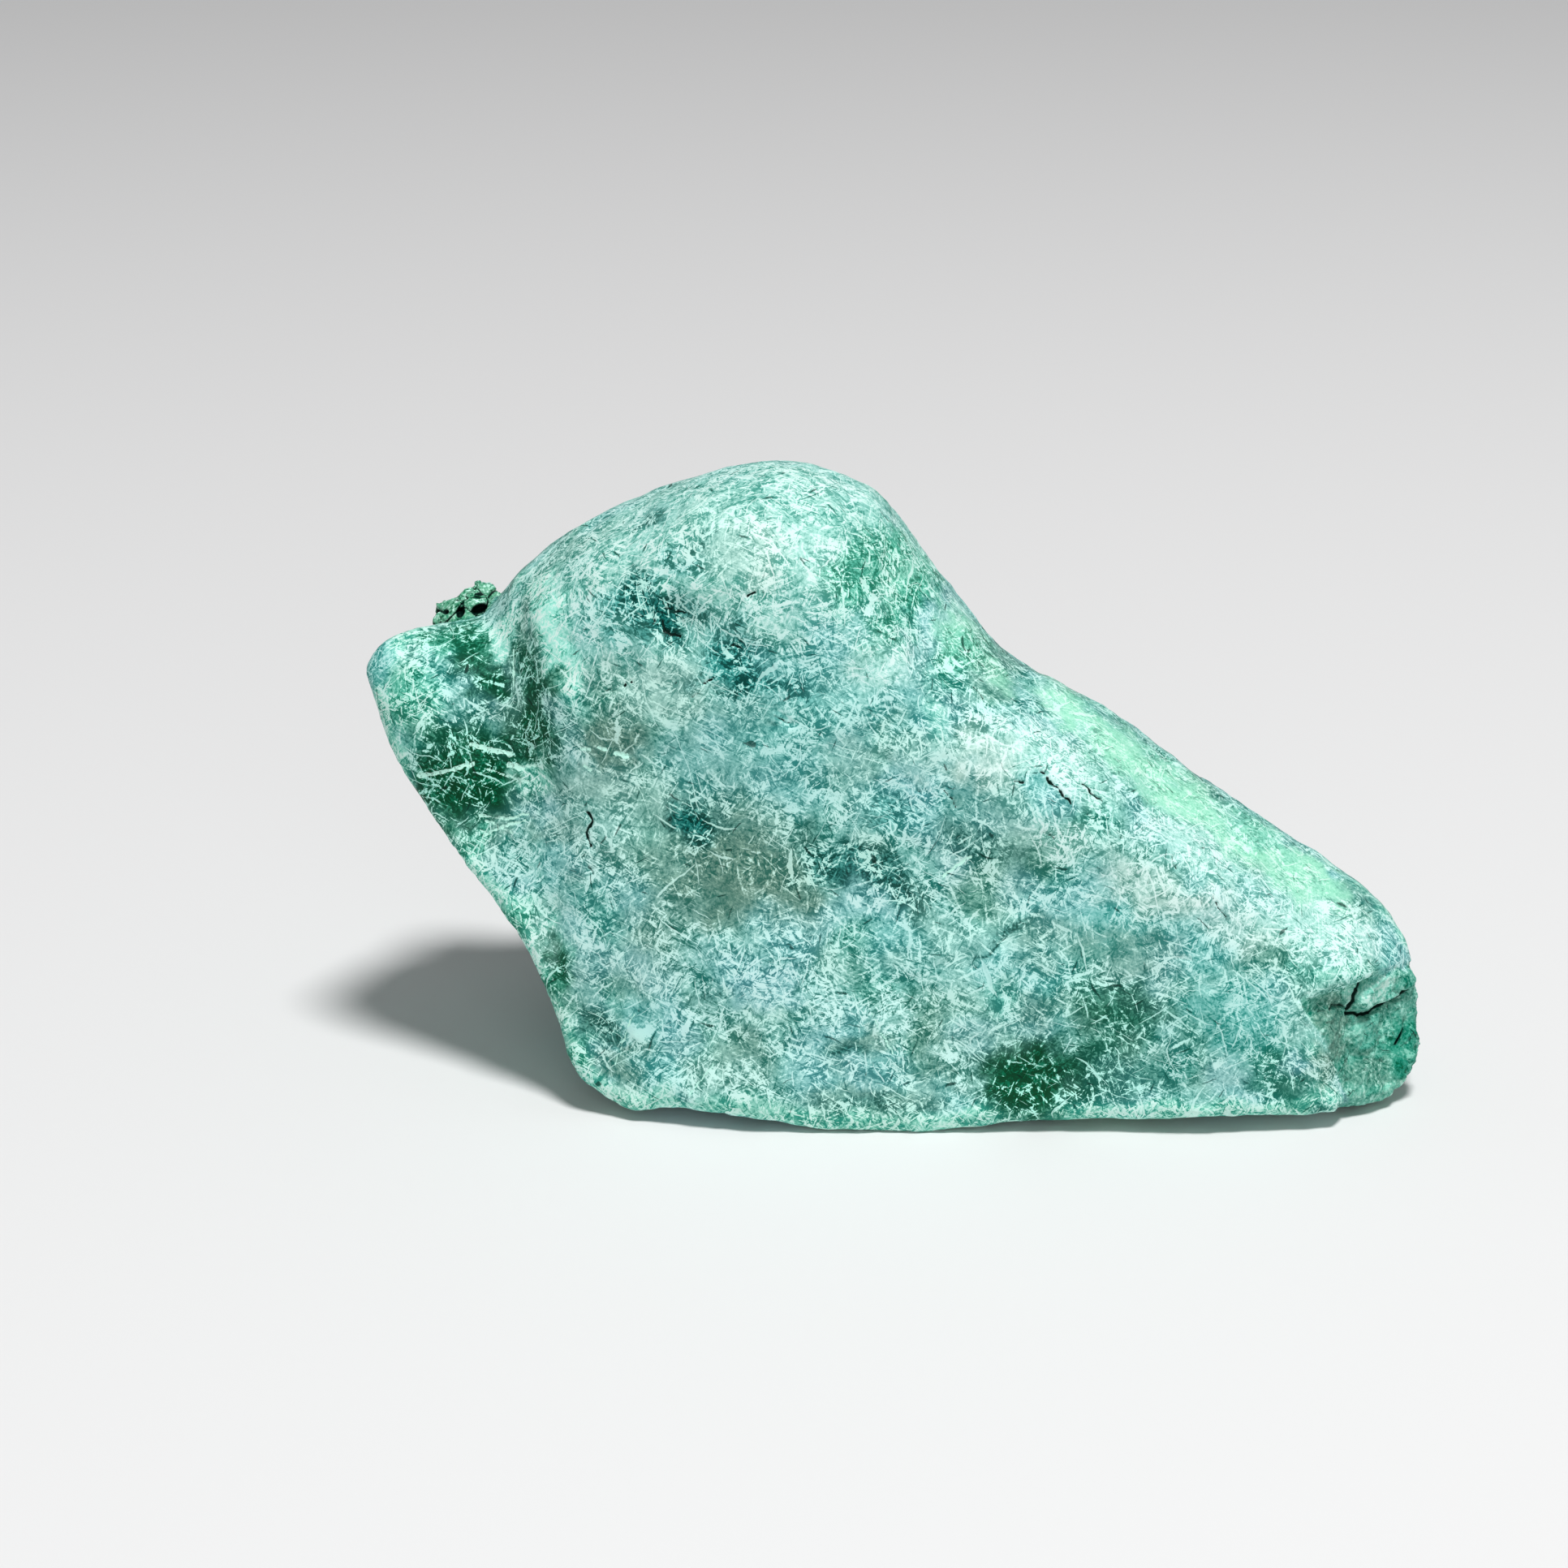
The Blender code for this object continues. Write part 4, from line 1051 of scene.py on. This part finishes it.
def makeStone():
    mesh, tree, marks = shapeStone()
    say("stone shaped")
    colourStone(mesh, tree, marks)
    say("tones laid on")
    mesh.polygons.foreach_set("use_smooth", np.ones(len(mesh.polygons), bool))
    mesh.materials.clear()
    mesh.materials.append(finishStone())
    lump = bpy.data.objects.new("stone", mesh)
    bpy.context.scene.collection.objects.link(lump)
    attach(lump, "root")
    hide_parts("malachite")
    mesh.calc_loop_triangles()
    say(f"stone of {len(mesh.loop_triangles)} triangles")


studio = {
    "floorSize": 3.0,           # m
    "floorColour": "e2e2e2",
    "floorRoughness": 0.7,
    "aim": (0, 0, 0.015),       # where both lights look
    "keyPlace": (0.08, -0.17, 0.67),
    "keySize": 0.16,
    "keyPower": 4.6,
    "fillPlace": (0.1, -0.8, 0.25),
    "fillSize": 0.5,
    "fillPower": 1.1,
    "skyColour": "c9c9ca",
    "skyPower": 0.36,
}

eye = {
    "target": Vector((-6.2, 0.0, 16.05)) * mm,
    "distance": 0.25,           # m
    "nearest": 0.01,
    "farthest": 20,
    "lens": 100,
    "sensor": 36,
}


def areaLight(name, place, size, power):
    light = bpy.data.lights.new(name, "AREA")
    light.shape = "DISK"
    light.size = size
    light.energy = power
    lamp = bpy.data.objects.new(name, light)
    lamp.location = place
    lamp.rotation_mode = "QUATERNION"
    lamp.rotation_quaternion = (Vector(studio["aim"]) - Vector(place)).to_track_quat("-Z", "Y")
    bpy.context.scene.collection.objects.link(lamp)


def makeStudio():
    half = studio["floorSize"] / 2
    mesh = bpy.data.meshes.new("floor")
    mesh.from_pydata([(-half, -half, 0), (half, -half, 0), (half, half, 0), (-half, half, 0)],
                     [], [(0, 1, 2, 3)])
    floor = bpy.data.objects.new("floor", mesh)
    bpy.context.scene.collection.objects.link(floor)
    material = bpy.data.materials.new("paleFloor")
    material.use_nodes = True
    shader = material.node_tree.nodes["Principled BSDF"]
    shader.inputs["Base Color"].default_value = (*shade(studio["floorColour"]), 1)
    shader.inputs["Roughness"].default_value = studio["floorRoughness"]
    mesh.materials.append(material)

    areaLight("key", studio["keyPlace"], studio["keySize"], studio["keyPower"])
    areaLight("fill", studio["fillPlace"], studio["fillSize"], studio["fillPower"])
    world = bpy.data.worlds.new("sky")
    world.use_nodes = True
    sky = world.node_tree.nodes["Background"]
    sky.inputs["Color"].default_value = (*shade(studio["skyColour"]), 1)
    sky.inputs["Strength"].default_value = studio["skyPower"]
    bpy.context.scene.world = world
    bpy.context.scene.view_settings.view_transform = "Standard"


def makeCamera():
    lens = bpy.data.cameras.new("camera")
    lens.lens = eye["lens"]
    lens.sensor_width = eye["sensor"]
    lens.clip_start = eye["nearest"]
    lens.clip_end = eye["farthest"]
    camera = bpy.data.objects.new("camera", lens)
    camera.location = eye["target"] + faceOut * eye["distance"]
    camera.rotation_mode = "QUATERNION"
    camera.rotation_quaternion = (-faceOut).to_track_quat("-Z", "Y")
    bpy.context.scene.collection.objects.link(camera)
    bpy.context.scene.camera = camera


makeCamera()
say("camera set")
makeStudio()
say("floor and light set")
makeStone()

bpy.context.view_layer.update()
say("done")
